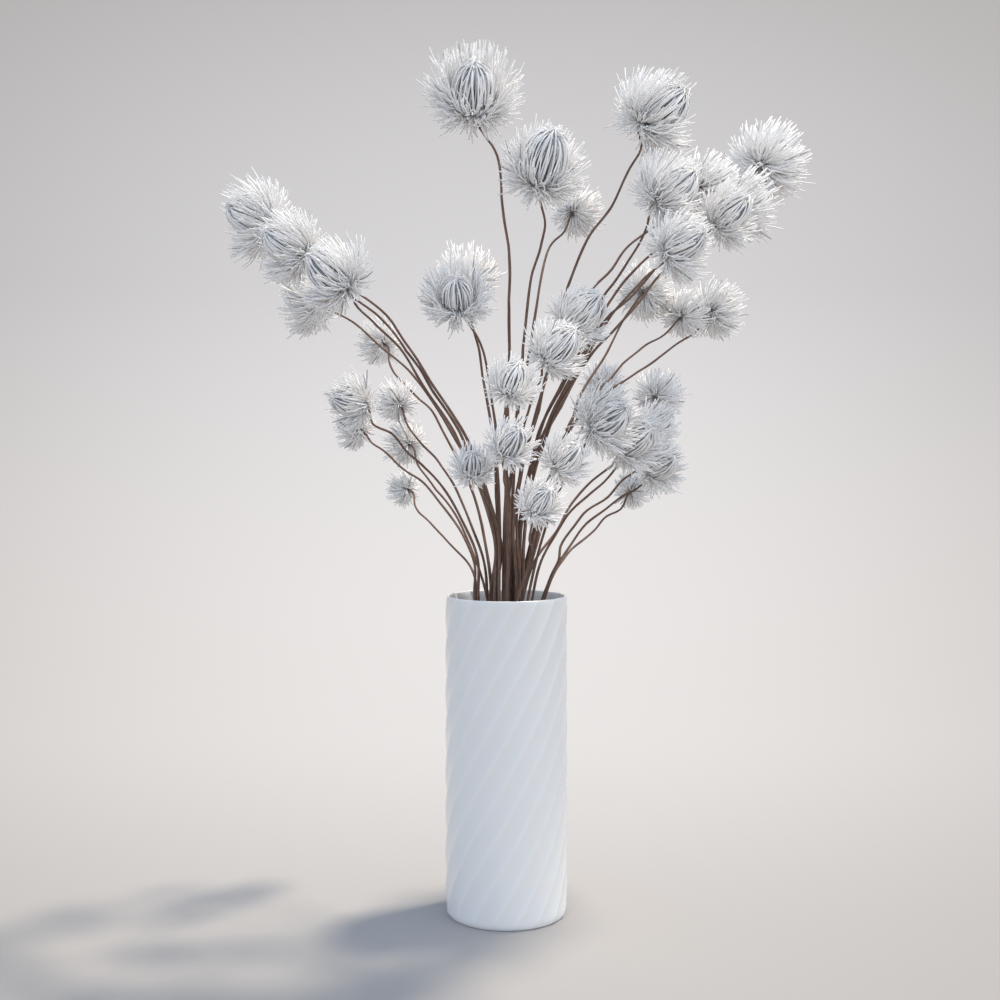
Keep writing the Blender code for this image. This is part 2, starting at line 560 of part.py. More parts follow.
def bloom_mesh(bloom, things, draw):
    """A bloom in its place, and the stretches that its bristles take up."""
    bm = bmesh.new()
    bands = dome_faces(bm, bloom)
    frame = Vector(bloom.faces).to_track_quat("Z", "Y").to_matrix().to_4x4()
    frame.translation = Vector(bloom.seat)
    taken = []
    for band, every, lift in BRISTLE_TIERS:
        faces = sorted(bands[band], key=lambda face: math.atan2(*face.calc_center_median().yx))
        halves = [bmesh.ops.triangulate(bm, faces=[face])["faces"][0] for face in faces[::every]]
        for face in halves:
            root = face.calc_center_median()
            inner = 2 * face.calc_area() / face.calc_perimeter()
            tip = place_bristle(root, bloom, frame, lift, draw, things)
            if tip is None:
                continue
            thickness = max(inner - BRISTLE_ROOT, 0.1 * inner)
            bmesh.ops.inset_individual(bm, faces=[face], thickness=thickness)
            bmesh.ops.poke(bm, faces=[face])["verts"][0].co = tip
            row = np.array([[*(frame @ root.lerp(tip, BRISTLE_SUNK)), *(frame @ tip), BRISTLE_ROOT]])
            taken.append(row)
            things = np.concatenate([things, row])
    bmesh.ops.transform(bm, matrix=frame, verts=bm.verts)
    return mesh_from(bm, f"bloom_{bloom.name}"), np.concatenate(taken)


def make_blooms(routes, material, collection):
    draw = random.Random(SEED)
    stretches = [[*low, *high, stem_radius(bloom, low[2])] for bloom in BLOOMS
                 for low, high in zip(routes[bloom.name], routes[bloom.name][1:])]
    bristles = np.zeros((0, 7))
    for bloom in BLOOMS:
        domes = [[*low, *high, radius] for low, high, radius in
                 (dome_span(other) for other in BLOOMS if other is not bloom)]
        own = [stretch for stretch in stretches
               if np.linalg.norm(np.array(stretch[3:6]) - np.array(bloom.seat)) > 2 * GAP]
        things = np.concatenate([np.array(domes), np.array(own), bristles])
        mesh, taken = bloom_mesh(bloom, things, draw)
        bristles = np.concatenate([bristles, taken])
        add_object(f"bloom_{bloom.name}", mesh, material, collection)


def main():
    clear_scene()
    arrangement = make_collection("flower_arrangement")
    porcelain = make_material("white_ceramic", (0.80, 0.82, 0.85), 0.35)
    bark = make_material("brown_stem", (0.13, 0.085, 0.065), 0.8)
    frosted = make_material("white_bloom", (0.86, 0.88, 0.91), 0.9)
    vase = add_object("vase", vase_mesh(), porcelain, arrangement)
    vase.data.shade_smooth()
    vase.data.set_sharp_from_angle(angle=math.radians(30))
    routes = all_routes()
    make_stems(routes, bark, arrangement)
    make_blooms(routes, frosted, arrangement)


if __name__ == "__main__":
    main()
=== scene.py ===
"""Looks for a dried flower arrangement in a vase, laid out as a Blender add-on.

Run as a script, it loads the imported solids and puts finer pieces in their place: a glazed vase with
spiral flutes, fibrous forked branches, and blooms of fine filaments round a dome of incurved strands.
Then it sets up a pale studio with a camera. Metres, +Z up. The origin is the middle of the vase's
foot, and -Y is the front.
"""

import math
import random
from collections import namedtuple

import bmesh
import bpy
import numpy as np
from bpy.props import FloatProperty, FloatVectorProperty, IntProperty, PointerProperty
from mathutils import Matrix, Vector


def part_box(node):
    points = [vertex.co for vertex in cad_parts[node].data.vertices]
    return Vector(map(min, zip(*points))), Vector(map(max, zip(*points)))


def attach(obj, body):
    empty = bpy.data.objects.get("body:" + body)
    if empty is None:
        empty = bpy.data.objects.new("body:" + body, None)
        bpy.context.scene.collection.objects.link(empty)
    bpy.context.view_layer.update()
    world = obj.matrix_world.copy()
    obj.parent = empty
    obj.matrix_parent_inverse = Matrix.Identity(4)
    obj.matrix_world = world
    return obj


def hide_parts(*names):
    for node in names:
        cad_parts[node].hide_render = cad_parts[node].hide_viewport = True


bl_info = {
    "name": "Dried Flower Arrangement",
    "version": (1, 0, 0),
    "blender": (4, 5, 0),
    "location": "View3D > Sidebar > Arrangement",
    "description": "A fluted vase with forked branches and bristly blooms, and a studio round them",
    "category": "Add Mesh",
}

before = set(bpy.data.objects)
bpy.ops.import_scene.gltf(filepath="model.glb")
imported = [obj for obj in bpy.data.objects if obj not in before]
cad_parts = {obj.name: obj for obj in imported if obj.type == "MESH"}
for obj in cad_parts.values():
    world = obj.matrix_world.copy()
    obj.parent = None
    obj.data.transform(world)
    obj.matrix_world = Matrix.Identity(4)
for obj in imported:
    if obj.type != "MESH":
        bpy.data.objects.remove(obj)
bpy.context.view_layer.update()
# The attribute whose three numbers the materials read: the stems' grain, the vase's crests that carry its
# painted highlight, and a bloom's painted shade and tone
PAINTED_LIGHT_AND_MARKS = "finish"

# Branches, laid out as in the solids
GAP = 0.0003
VASE_FLOOR = 0.006
STEM_RADIUS_LEAST = 0.00115
STEM_RADIUS_MOST = 0.0023
STEM_TAPER = 0.0026
NECK_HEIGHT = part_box("vase")[1][2]
NECK_REACH = 0.037
NECK_SPACING = 0.0056
WAIST_HEIGHT = 0.230
WAIST_DRAW_IN = 0.34
FOOT_DRAW_IN = 0.08
FOOT_STRAIGHT = 0.012
SEAT_STRAIGHT = 0.006
STEM_CLEARANCE = 0.0012
NECK_ROUNDS = 200
NECK_STEP = 0.25
EASE_ROUNDS = 400
EASE_STEP = 0.4
EASE_ENOUGH = 0.0001

# The dome of a bloom, as shares of its width
DOME_RADIUS = 0.225
DOME_TIP = 0.55

# How the fine stems run
STEM_POINT_SPACING = 0.005
TWIN_SNUG = 0.88
TWIN_SIDES = 24
KINKS_FROM = 0.32
KINKS_FULL_FROM = 0.42
STEM_INTO_BLOOM = 0.03
STEM_SLIM = 0.86

# The fine parts of a bloom. Profiles and reaches are shares of its width, and each profile goes from
# root to tip. A thickness or a painted shade is given at some shares of the length; the painted shade
# darkens a part low down among the others, where shade falls.
CORE_PROFILE = ((0.030, -0.004), (0.06, 0.05), (0.120, 0.11), (0.160, 0.20), (0.160, 0.32),
                (0.120, 0.39), (0.06, 0.43), (0.01, 0.44))
STRAND_PROFILE = ((0.130, 0.100), (0.160, 0.055), (0.200, 0.062), (0.212, 0.130), (0.213, 0.225),
                  (0.197, 0.330), (0.152, 0.422), (0.085, 0.470))
STRAND_CROSSES = 0.21
STRAND_THICKNESS = ((0, 0.12, 0.75, 1), (0.85, 1.0, 0.9, 0.5))
STRAND_PAINTED_SHADE = ((0, 0.12, 0.3, 0.6, 1), (1.0, 0.95, 0.76, 0.88, 1.0))
FILAMENT_THICKNESS = ((0, 0.3, 0.9, 1), (0.75, 1.0, 0.85, 0.62))
FILAMENT_PAINTED_SHADE = ((0, 0.25, 0.6, 1), (0.40, 0.80, 1.0, 1.0))
BLOOM_CENTRE = 0.20
BLOOM_REACH = 0.52
REACH_LEAST = 0.70
STRAY_SHARE = 0.08
STRAY_REACH = 1.17
CROWN_SHORTER = 0.16
CURL = math.radians(34)
SAG = 0.12
GOLDEN_ANGLE = math.pi * (3 - math.sqrt(5))

# How large each dome of strands is against the solid one
DOME_SIZE = 1.05
DOME_SIZES = {"top_1": 0.92, "inner_1": 0.90, "front_5": 0.98, "top_2": 1.20, "right_1": 1.10,
              "left_1": 1.02, "left_3": 1.10, "front_1": 1.20, "front_2": 1.16}

# One row a bloom: where its stem ends, its width across and the way it faces. A twig's row goes on with
# the bloom whose branch it grows from, and the height of that fork.
Bloom = namedtuple("Bloom", "name seat across faces fork_on fork_height", defaults=(None, None))
BLOOMS = (
    Bloom("top_1", (-0.030, -0.08, 0.745), 0.093, (0.07, -0.67, 0.74)),
    Bloom("top_2", (0.029, -0.10, 0.675), 0.083, (0.24, -0.58, 0.78)),
    Bloom("top_3", (0.064, 0.02, 0.665), 0.057, (0.37, 0.77, 0.52), "top_2", 0.49),
    Bloom("right_1", (0.129, -0.02, 0.743), 0.091, (0.76, -0.26, 0.60)),
    Bloom("right_2", (0.138, -0.06, 0.664), 0.081, (0.78, -0.26, 0.58)),
    Bloom("right_3", (0.143, -0.10, 0.611), 0.070, (0.80, -0.43, 0.42)),
    Bloom("right_4", (0.259, 0.10, 0.726), 0.092, (0.62, 0.51, 0.59)),
    Bloom("right_5", (0.227, 0.06, 0.675), 0.079, (0.83, 0.23, 0.51), "right_4", 0.50),
    Bloom("right_6", (0.202, 0.00, 0.653), 0.071, (0.68, -0.45, 0.58), "right_3", 0.50),
    Bloom("right_7", (0.189, 0.04, 0.691), 0.073, (0.69, 0.47, 0.55), "right_2", 0.50),
    Bloom("left_1", (-0.230, 0.02, 0.654), 0.085, (-0.86, -0.26, 0.45)),
    Bloom("left_2", (-0.188, -0.05, 0.618), 0.075, (-0.80, -0.41, 0.44)),
    Bloom("left_3", (-0.141, -0.11, 0.581), 0.074, (-0.74, -0.25, 0.62), "left_2", 0.40),
    Bloom("left_4", (-0.189, 0.08, 0.583), 0.075, (-0.86, 0.23, 0.46), "left_1", 0.41),
    Bloom("inner_1", (-0.043, -0.10, 0.565), 0.070, (-0.02, -0.72, 0.70)),
    Bloom("inner_2", (-0.037, -0.01, 0.595), 0.066, (-0.01, 0.58, 0.81), "inner_1", 0.43),
    Bloom("low_left_1", (-0.128, 0.14, 0.549), 0.055, (-0.68, 0.60, 0.42)),
    Bloom("low_left_2", (-0.136, -0.02, 0.480), 0.058, (-0.85, -0.48, 0.22)),
    Bloom("low_left_3", (-0.145, 0.06, 0.457), 0.050, (-0.85, 0.24, 0.47), "low_left_2", 0.33),
    Bloom("low_left_4", (-0.109, 0.10, 0.484), 0.049, (-0.53, 0.62, 0.58), "low_left_1", 0.33),
    Bloom("low_left_5", (-0.100, 0.12, 0.443), 0.050, (-0.64, 0.70, 0.32)),
    Bloom("low_left_6", (-0.103, 0.14, 0.396), 0.042, (-0.75, 0.57, 0.32), "low_left_2", 0.305),
    Bloom("front_1", (0.058, -0.07, 0.550), 0.065, (0.65, -0.38, 0.66)),
    Bloom("front_2", (0.036, -0.13, 0.517), 0.061, (0.63, -0.41, 0.66), "front_1", 0.41),
    Bloom("front_3", (0.002, -0.16, 0.487), 0.052, (0.31, -0.41, 0.86)),
    Bloom("front_4", (0.000, -0.18, 0.438), 0.049, (0.40, -0.62, 0.67), "front_3", 0.36),
    Bloom("front_5", (-0.029, -0.15, 0.419), 0.044, (0.02, -0.57, 0.82)),
    Bloom("front_6", (0.045, -0.14, 0.425), 0.051, (0.63, -0.47, 0.62)),
    Bloom("front_7", (0.024, -0.18, 0.391), 0.047, (0.43, -0.66, 0.61), "front_6", 0.335),
    Bloom("mid_right_1", (0.142, 0.12, 0.600), 0.067, (0.28, 0.90, 0.33), "mid_right_3", 0.45),
    Bloom("mid_right_2", (0.181, 0.12, 0.575), 0.057, (0.57, 0.61, 0.55), "mid_right_3", 0.43),
    Bloom("mid_right_3", (0.215, 0.14, 0.581), 0.068, (0.83, 0.38, 0.41)),
    Bloom("low_right_1", (0.097, 0.10, 0.503), 0.049, (0.20, 0.83, 0.53)),
    Bloom("low_right_2", (0.156, 0.13, 0.492), 0.060, (0.38, 0.82, 0.43), "low_right_1", 0.325),
    Bloom("low_right_3", (0.081, -0.08, 0.460), 0.071, (0.72, -0.54, 0.43)),
    Bloom("low_right_4", (0.110, -0.03, 0.443), 0.069, (0.63, -0.66, 0.40), "low_right_3", 0.33),
    Bloom("low_right_5", (0.144, 0.07, 0.457), 0.055, (0.77, 0.33, 0.55), "low_right_6", 0.33),
    Bloom("low_right_6", (0.142, 0.02, 0.419), 0.058, (0.58, -0.74, 0.34)),
    Bloom("low_right_7", (0.126, 0.09, 0.395), 0.043, (0.48, 0.80, 0.37), "low_right_6", 0.315),
)

# Where each stem bends between the vase's mouth, or its fork, and its bloom, in millimetres
MILLIMETRES = 1000
BENDS = {
    "top_1": ((-1, -20, 419), (2, -40, 529), (3, -50, 588), (-3, -65, 658), (-5, -70, 681),
        (-9, -74, 700), (-20, -78, 717)),
    "top_2": ((6, -20, 409), (17, -50, 542), (21, -60, 582), (30, -80, 622), (33, -88, 639),
        (29, -97, 657)),
    "top_3": ((25, -30, 551), (31, -20, 587), (36, -10, 611), (42, 0, 633), (56, 10, 647)),
    "right_1": ((14, 0, 409), (32, 0, 485), (47, 0, 551), (62, -5, 600), (77, -10, 637), (97, -15, 664),
        (114, -20, 697), (126, -20, 720)),
    "right_2": ((18, 0, 411), (37, 0, 468), (63, -10, 516), (90, -30, 580), (111, -45, 609),
        (127, -55, 639)),
    "right_7": ((81, 0, 591), (101, 10, 611), (117, 20, 633), (139, 30, 651), (169, 35, 671)),
    "right_4": ((24, 10, 418), (45, 20, 474), (72, 30, 525), (109, 40, 594), (134, 50, 622),
        (174, 70, 655), (222, 90, 691)),
    "right_5": ((102, 40, 569), (134, 45, 603), (171, 50, 634), (206, 55, 657)),
    "right_3": ((21, -10, 409), (41, -20, 468), (66, -40, 514), (91, -60, 558), (119, -80, 582),
        (134, -90, 602)),
    "right_6": ((90, -30, 539), (115, -25, 565), (140, -15, 596), (168, -10, 624)),
    "left_1": ((-5, 0, 347), (-19, 0, 400), (-39, 0, 450), (-72, 5, 503), (-99, 10, 545),
        (-117, 12, 569), (-152, 15, 595), (-198, 20, 628)),
    "left_2": ((-7, -10, 345), (-23, -10, 400), (-43, -10, 450), (-73, -15, 498), (-99, -20, 539),
        (-117, -25, 559), (-149, -35, 585)),
    "left_3": ((-46, -30, 449), (-73, -50, 492), (-96, -70, 530), (-119, -85, 551), (-133, -95, 565)),
    "left_4": ((-49, 20, 447), (-72, 30, 486), (-93, 45, 513), (-127, 60, 542), (-147, 65, 560),
        (-171, 75, 575)),
    "inner_1": ((-6, -10, 390), (-9, -20, 437), (-12, -30, 470), (-17, -50, 506), (-20, -65, 525),
        (-25, -75, 537), (-35, -85, 551)),
    "inner_2": ((-15, -15, 466), (-21, -10, 503), (-26, -10, 531), (-32, -10, 555)),
    "low_left_1": ((-16, 10, 323), (-23, 25, 360), (-34, 40, 401), (-50, 60, 435), (-63, 70, 457),
        (-75, 80, 477), (-95, 100, 496), (-110, 110, 512), (-121, 125, 530)),
    "low_left_4": ((-32, 30, 360), (-49, 50, 398), (-58, 55, 414), (-69, 65, 430), (-85, 75, 445),
        (-102, 90, 468)),
    "low_left_2": ((-27, -5, 334), (-42, -10, 371), (-58, -12, 400), (-79, -15, 425), (-93, -18, 436),
        (-106, -20, 451), (-125, -20, 462)),
    "low_left_3": ((-40, 5, 354), (-63, 20, 386), (-81, 30, 406), (-106, 45, 423), (-121, 50, 437),
        (-134, 55, 446)),
    "low_left_5": ((-35, 30, 345), (-60, 70, 387), (-74, 85, 403), (-91, 105, 424)),
    "low_left_6": ((-59, 60, 348), (-77, 85, 365), (-94, 120, 381)),
    "front_1": ((11, -20, 400), (26, -30, 463), (40, -50, 509), (51, -60, 533)),
    "front_2": ((13, -60, 442), (21, -90, 477), (30, -110, 500)),
    "front_3": ((2, -40, 392), (-2, -80, 437), (-1, -130, 470)),
    "front_4": ((0, -100, 402), (-3, -150, 422)),
    "front_5": ((-8, -40, 364), (-17, -90, 391), (-24, -130, 407)),
    "front_6": ((23, -20, 335), (30, -70, 375), (37, -110, 404)),
    "front_7": ((20, -100, 359), (21, -150, 376)),
    "mid_right_3": ((24, 10, 352), (42, 30, 413), (61, 50, 455), (83, 65, 483), (112, 80, 503),
        (142, 100, 521), (174, 120, 545), (199, 130, 561)),
    "mid_right_2": ((59, 45, 455), (70, 55, 476), (97, 70, 502), (126, 90, 531), (142, 100, 544),
        (162, 110, 555)),
    "mid_right_1": ((71, 60, 487), (97, 80, 528), (121, 100, 572)),
    "low_right_1": ((26, 10, 337), (41, 40, 384), (59, 60, 425), (77, 80, 458), (89, 95, 486)),
    "low_right_2": ((51, 40, 361), (63, 60, 381), (84, 80, 404), (110, 100, 424), (135, 120, 456)),
    "low_right_3": ((28, -20, 335), (38, -40, 371), (50, -55, 405), (68, -70, 437)),
    "low_right_4": ((48, -25, 363), (61, -25, 382), (78, -25, 398), (92, -25, 410), (103, -30, 425)),
    "low_right_6": ((46, 0, 324), (61, 5, 347), (75, 10, 366), (94, 12, 380), (109, 15, 391),
        (129, 18, 403)),
    "low_right_5": ((53, 20, 346), (67, 30, 365), (77, 35, 377), (99, 45, 391), (114, 50, 407),
        (135, 60, 422)),
    "low_right_7": ((55, 30, 331), (64, 40, 341), (75, 45, 349), (88, 55, 359), (98, 65, 370),
        (117, 80, 380)),
}


# Settings

def colour_property(name, description, default):
    return FloatVectorProperty(name=name, description=description, default=default, subtype="COLOR",
                               size=3, min=0.0, max=1.0)


def length_property(name, description, default):
    return FloatProperty(name=name, description=description, default=default, min=0.0, precision=5,
                         subtype="DISTANCE", unit="LENGTH")


def share_property(name, description, default):
    return FloatProperty(name=name, description=description, default=default, min=0.0, max=1.0,
                         subtype="FACTOR")


def angle_property(name, description, degrees):
    return FloatProperty(name=name, description=description, default=math.radians(degrees),
                         subtype="ANGLE", unit="ROTATION")


def strength_property(name, description, default):
    return FloatProperty(name=name, description=description, default=default, min=0.0)


def count_property(name, description, default, least):
    return IntProperty(name=name, description=description, default=default, min=least)


class VaseSettings(bpy.types.PropertyGroup):
    radius: length_property("Radius", "Outer radius over the flutes' arrises", 0.0575)
    foot_radius: length_property("Foot Radius", "Radius of the flat foot", 0.0535)
    foot_round: length_property("Foot Round", "Height of the rounded edge above the foot", 0.008)
    wall: length_property("Wall", "Thickness of the wall", 0.0025)
    flute_depth: length_property("Flute Depth", "How far a flute is hollowed in", 0.0012)
    flutes: count_property("Flutes", "Number of spiral flutes", 17, 3)
    turn: angle_property("Turn", "How far the flutes wind from foot to rim", 173)
    glaze: colour_property("Glaze", "Colour of the glaze in the flutes", (0.79, 0.795, 0.785))
    # Painted highlight: this lighter colour is painted along the flutes' arrises as bright lines where
    # light catches them
    arris: colour_property("Arris", "Colour where the glaze thins over an arris", (0.90, 0.90, 0.90))


class StemSettings(bpy.types.PropertyGroup):
    sides: count_property("Sides", "Sides of a stem's section", 8, 3)
    kink: length_property("Kink", "How far a stem strays at its kinks", 0.0012)
    kink_spacing: length_property("Kink Spacing", "Length of stem between two kinks", 0.022)
    bark: colour_property("Bark", "Main colour of the bark", (0.170, 0.096, 0.068))
    furrow: colour_property("Furrow", "Colour of the bark's furrows", (0.045, 0.022, 0.014))
    fibre: colour_property("Fibre", "Colour of the pale fibres", (0.420, 0.310, 0.245))


class BloomSettings(bpy.types.PropertyGroup):
    filaments: count_property("Filaments", "Filaments on a bloom 90 mm across", 520, 10)
    filament_radius: length_property("Filament Radius", "Radius of a filament at its thickest", 0.00076)
    strand_radius: length_property("Strand Radius", "Radius of a dome's strand", 0.00092)
    strand_spacing: length_property("Strand Spacing", "Room for each strand round the dome", 0.0024)
    grey_share: share_property("Grey Share", "Share of the filaments that are grey", 0.03)
    tip: colour_property("Tip", "Colour of the tips", (0.99, 0.975, 0.96))
    # The root colour is painted shade: the filaments and strands are painted darker toward it at their
    # roots, and the core and the gaps take it
    root: colour_property("Root", "Colour of the roots and gaps", (0.30, 0.31, 0.34))


class StageSettings(bpy.types.PropertyGroup):
    paper: colour_property("Paper", "Colour of the floor and backdrop", (0.485, 0.471, 0.470))
    wall: colour_property("Wall", "Colour seen past the backdrop", (0.50, 0.49, 0.48))
    sky: colour_property("Sky", "Colour of the light from all round", (0.34, 0.45, 0.62))
    sky_strength: strength_property("Sky Strength", "Strength of the light from all round", 1.16)
    lamp: colour_property("Lamp", "Colour of the lamp", (1.0, 0.88, 0.70))
    lamp_strength: strength_property("Lamp Strength", "Light from the lamp", 3.45)
    lamp_angle: angle_property("Lamp Angle", "How wide the lamp looks, which softens shadows", 8)
    fill: colour_property("Fill", "Colour of the two wide fill lamps", (1.0, 0.96, 0.90))
    right_fill: strength_property("Right Fill", "Light from the fill lamp on the right", 1.70)
    left_fill: strength_property("Left Fill", "Light from the fill lamp on the left", 0.85)
    fill_angle: angle_property("Fill Angle", "How wide the fill lamps look", 120)


# Shaders

# A painted pool of light on the paper: palest behind the vase, with painted shade towards its near edge,
# sides and top
PAINTED_POOL_BACK = 0.9
PAINTED_SHADE_FALLOFF = 0.8
PAINTED_SHADE_SHARE = (0.50, 0.485, 0.46)


class Socket:
    """An output in a node tree. Arithmetic on it adds Math nodes, and node() adds any other."""

    def __init__(self, tree, output=None):
        self.tree = tree
        self.output = output

    def node(self, kind, settings=None, inputs=None, output=0):
        added = self.tree.nodes.new(kind)
        for name, value in (settings or {}).items():
            if name == "stops":
                self.set_stops(added.color_ramp, value)
            else:
                setattr(added, name, value)
        for key, value in (inputs or {}).items():
            socket = self.find(added.inputs, key)
            if isinstance(value, Socket):
                self.tree.links.new(value.output, socket)
            else:
                socket.default_value = value
        return Socket(self.tree, self.find(added.outputs, output) if added.outputs else None)

    @staticmethod
    def find(sockets, key):
        if isinstance(key, int):
            return sockets[key]
        return next(socket for socket in sockets if key in (socket.identifier, socket.name))

    @staticmethod
    def set_stops(ramp, stops):
        while len(ramp.elements) < len(stops):
            ramp.elements.new(1.0)
        for element, (position, colour) in zip(ramp.elements, stops):
            element.position = position
            element.color = (*colour, 1.0)

    def maths(self, operation, first, second):
        return self.node("ShaderNodeMath", {"operation": operation}, {0: first, 1: second})

    def at_least(self, least):
        return self.maths("MAXIMUM", self, least)

    def __add__(self, other):
        return self.maths("ADD", self, other)

    def __radd__(self, other):
        return self.maths("ADD", other, self)

    def __sub__(self, other):
        return self.maths("SUBTRACT", self, other)

    def __rsub__(self, other):
        return self.maths("SUBTRACT", other, self)

    def __mul__(self, other):
        return self.maths("MULTIPLY", self, other)

    def __rmul__(self, other):
        return self.maths("MULTIPLY", other, self)

    def __pow__(self, other):
        return self.maths("POWER", self, other)

    def __rpow__(self, other):
        return self.maths("POWER", other, self)


def start_material(name):
    """An empty material and the start of its node tree."""
    material = bpy.data.materials.new(name)
    material.use_nodes = True
    material.node_tree.nodes.clear()
    return material, Socket(material.node_tree)


def end_material(start, inputs):
    shader = start.node("ShaderNodeBsdfPrincipled", {}, inputs, "BSDF")
    start.node("ShaderNodeOutputMaterial", {}, {"Surface": shader})


def mixed(start, factor, first, second):
    """Two colours, each of three numbers, mixed by a factor."""
    return start.node("ShaderNodeMix", {"data_type": "RGBA"},
                      {"Factor_Float": factor, "A_Color": (*first, 1.0), "B_Color": (*second, 1.0)},
                      "Result_Color")


def light_and_mark_parts(start):
    """The three numbers that a piece's vertices carry for its material: marks, and in a bloom a painted
    shade.
    """
    vector = start.node("ShaderNodeAttribute", {"attribute_name": PAINTED_LIGHT_AND_MARKS}, {}, "Vector")
    return [start.node("ShaderNodeSeparateXYZ", {}, {"Vector": vector}, axis) for axis in "XYZ"]


def noise(start, vector, scale, detail=2.0):
    return start.node("ShaderNodeTexNoise", {},
                      {"Vector": vector, "Scale": scale, "Detail": detail}, "Fac")


def bump(start, height, strength, distance):
    return start.node("ShaderNodeBump", {},
                      {"Strength": strength, "Distance": distance, "Height": height}, "Normal")


def glaze_material(settings):
    material, start = start_material("white_glaze")
    here = start.node("ShaderNodeTexCoord", {}, {}, "Object")
    crest = light_and_mark_parts(start)[0]
    cloud = noise(start, here, 16.0, 3.0)
    pores = noise(start, here, 420.0)
    ripple = noise(start, here, 70.0)
    # Painted highlight: the glaze's colour is mixed towards a lighter colour along the crests of the flutes
    painted_highlight = crest ** 3.0 * 0.4
    glaze = mixed(start, painted_highlight + cloud * 0.25 - 0.10, settings.glaze, settings.arris)
    end_material(start, {
        "Base Color": glaze,
        "Roughness": 0.30 + cloud * 0.16 - painted_highlight * 0.06,
        "Coat Weight": 0.9,
        "Coat Roughness": 0.22,
        "Normal": bump(start, ripple * 0.7 + pores * 0.3, 0.12, 0.0006),
    })
    return material


def bark_material(settings):
    material, start = start_material("brown_bark")
    grain = start.node("ShaderNodeAttribute", {"attribute_name": PAINTED_LIGHT_AND_MARKS}, {}, "Vector")
    fibres = noise(start, grain, 2.6, 4.0)
    patches = noise(start, grain, 0.35, 2.0)
    here = start.node("ShaderNodeTexCoord", {}, {}, "Object")
    dust = noise(start, here, 900.0)
    colour = start.node("ShaderNodeValToRGB", {
        "stops": ((0.30, settings.furrow), (0.52, settings.bark), (0.72, settings.fibre)),
    }, {"Fac": fibres * 0.75 + patches * 0.25 + dust * 0.10 - 0.05}, "Color")
    end_material(start, {
        "Base Color": colour,
        "Roughness": 0.62 + fibres * 0.3,
        "Normal": bump(start, fibres + dust * 0.3, 0.55, 0.0005),
    })
    return material


def filament_material(settings):
    material, start = start_material("frosted_filaments")
    along, tone, _ = light_and_mark_parts(start)
    here = start.node("ShaderNodeTexCoord", {}, {}, "Object")
    fuzz = noise(start, here, 1600.0, 3.0)
    patches = noise(start, here, 55.0)
    # Painted shade: the first number is a painted shade by ring, and the colour mixes from the root colour,
    # painted as shade at the roots, to the tip colour; the tone is each part's own and differs at random
    clear_of_root_shade = 1 - (1 - along) ** 2.2
    colour = mixed(start, clear_of_root_shade * tone * (0.93 + patches * 0.14), settings.root, settings.tip)
    end_material(start, {
        "Base Color": colour,
        "Roughness": 0.72 + fuzz * 0.2,
        "Sheen Weight": 0.25,
        "Sheen Roughness": 0.5,
        "Normal": bump(start, fuzz, 0.5, 0.0002),
    })
    return material


def paper_material(settings):
    """Paper with a painted pool of light: its colour is painted palest behind the vase, and painted shade
    darkens it smoothly to its near edge, its sides and its top.
    """
    material, start = start_material("paper_painted_light_pool")
    here = start.node("ShaderNodeTexCoord", {}, {}, "Object")
    across, back, height = (start.node("ShaderNodeSeparateXYZ", {}, {"Vector": here}, axis)
                            for axis in "XYZ")
    tooth = noise(start, here, 300.0)
    aside = across * ((back.at_least(0.0) * 0.42 + 0.75) ** -1.0)
    nearer = (PAINTED_POOL_BACK - back).at_least(0.0) * 0.77
    upper = height * 0.31
    away = aside * aside + nearer * nearer + upper * upper
    # Painted shade: the paper's colour is mixed towards a darker copy of itself the farther a point lies
    # from the pool behind the vase
    painted_shade_colour = tuple(share * part for share, part in zip(PAINTED_SHADE_SHARE, settings.paper))
    end_material(start, {
        "Base Color": mixed(start, 1 - math.e ** (away * -PAINTED_SHADE_FALLOFF), settings.paper, painted_shade_colour),
        "Roughness": 0.85 + tooth * 0.1,
        "Specular IOR Level": 0.2,
    })
    return material


# Meshes

def new_bmesh():
    """An empty bmesh whose vertices can say which tube and corner they are and carry three numbers for the
    material.
    """
    bm = bmesh.new()
    bm.verts.layers.int.new("tube")
    bm.verts.layers.int.new("corner")
    bm.verts.layers.float_vector.new(PAINTED_LIGHT_AND_MARKS)
    return bm


def next_ring(bm, edges):
    """Extrude closed rings of edges in place, and return the new rings' edges and vertices."""
    grown = bmesh.ops.extrude_edge_only(bm, edges=edges)["geom"]
    verts = {item for item in grown if isinstance(item, bmesh.types.BMVert)}
    rim = [item for item in grown if isinstance(item, bmesh.types.BMEdge)
           and item.verts[0] in verts and item.verts[1] in verts]
    return rim, verts


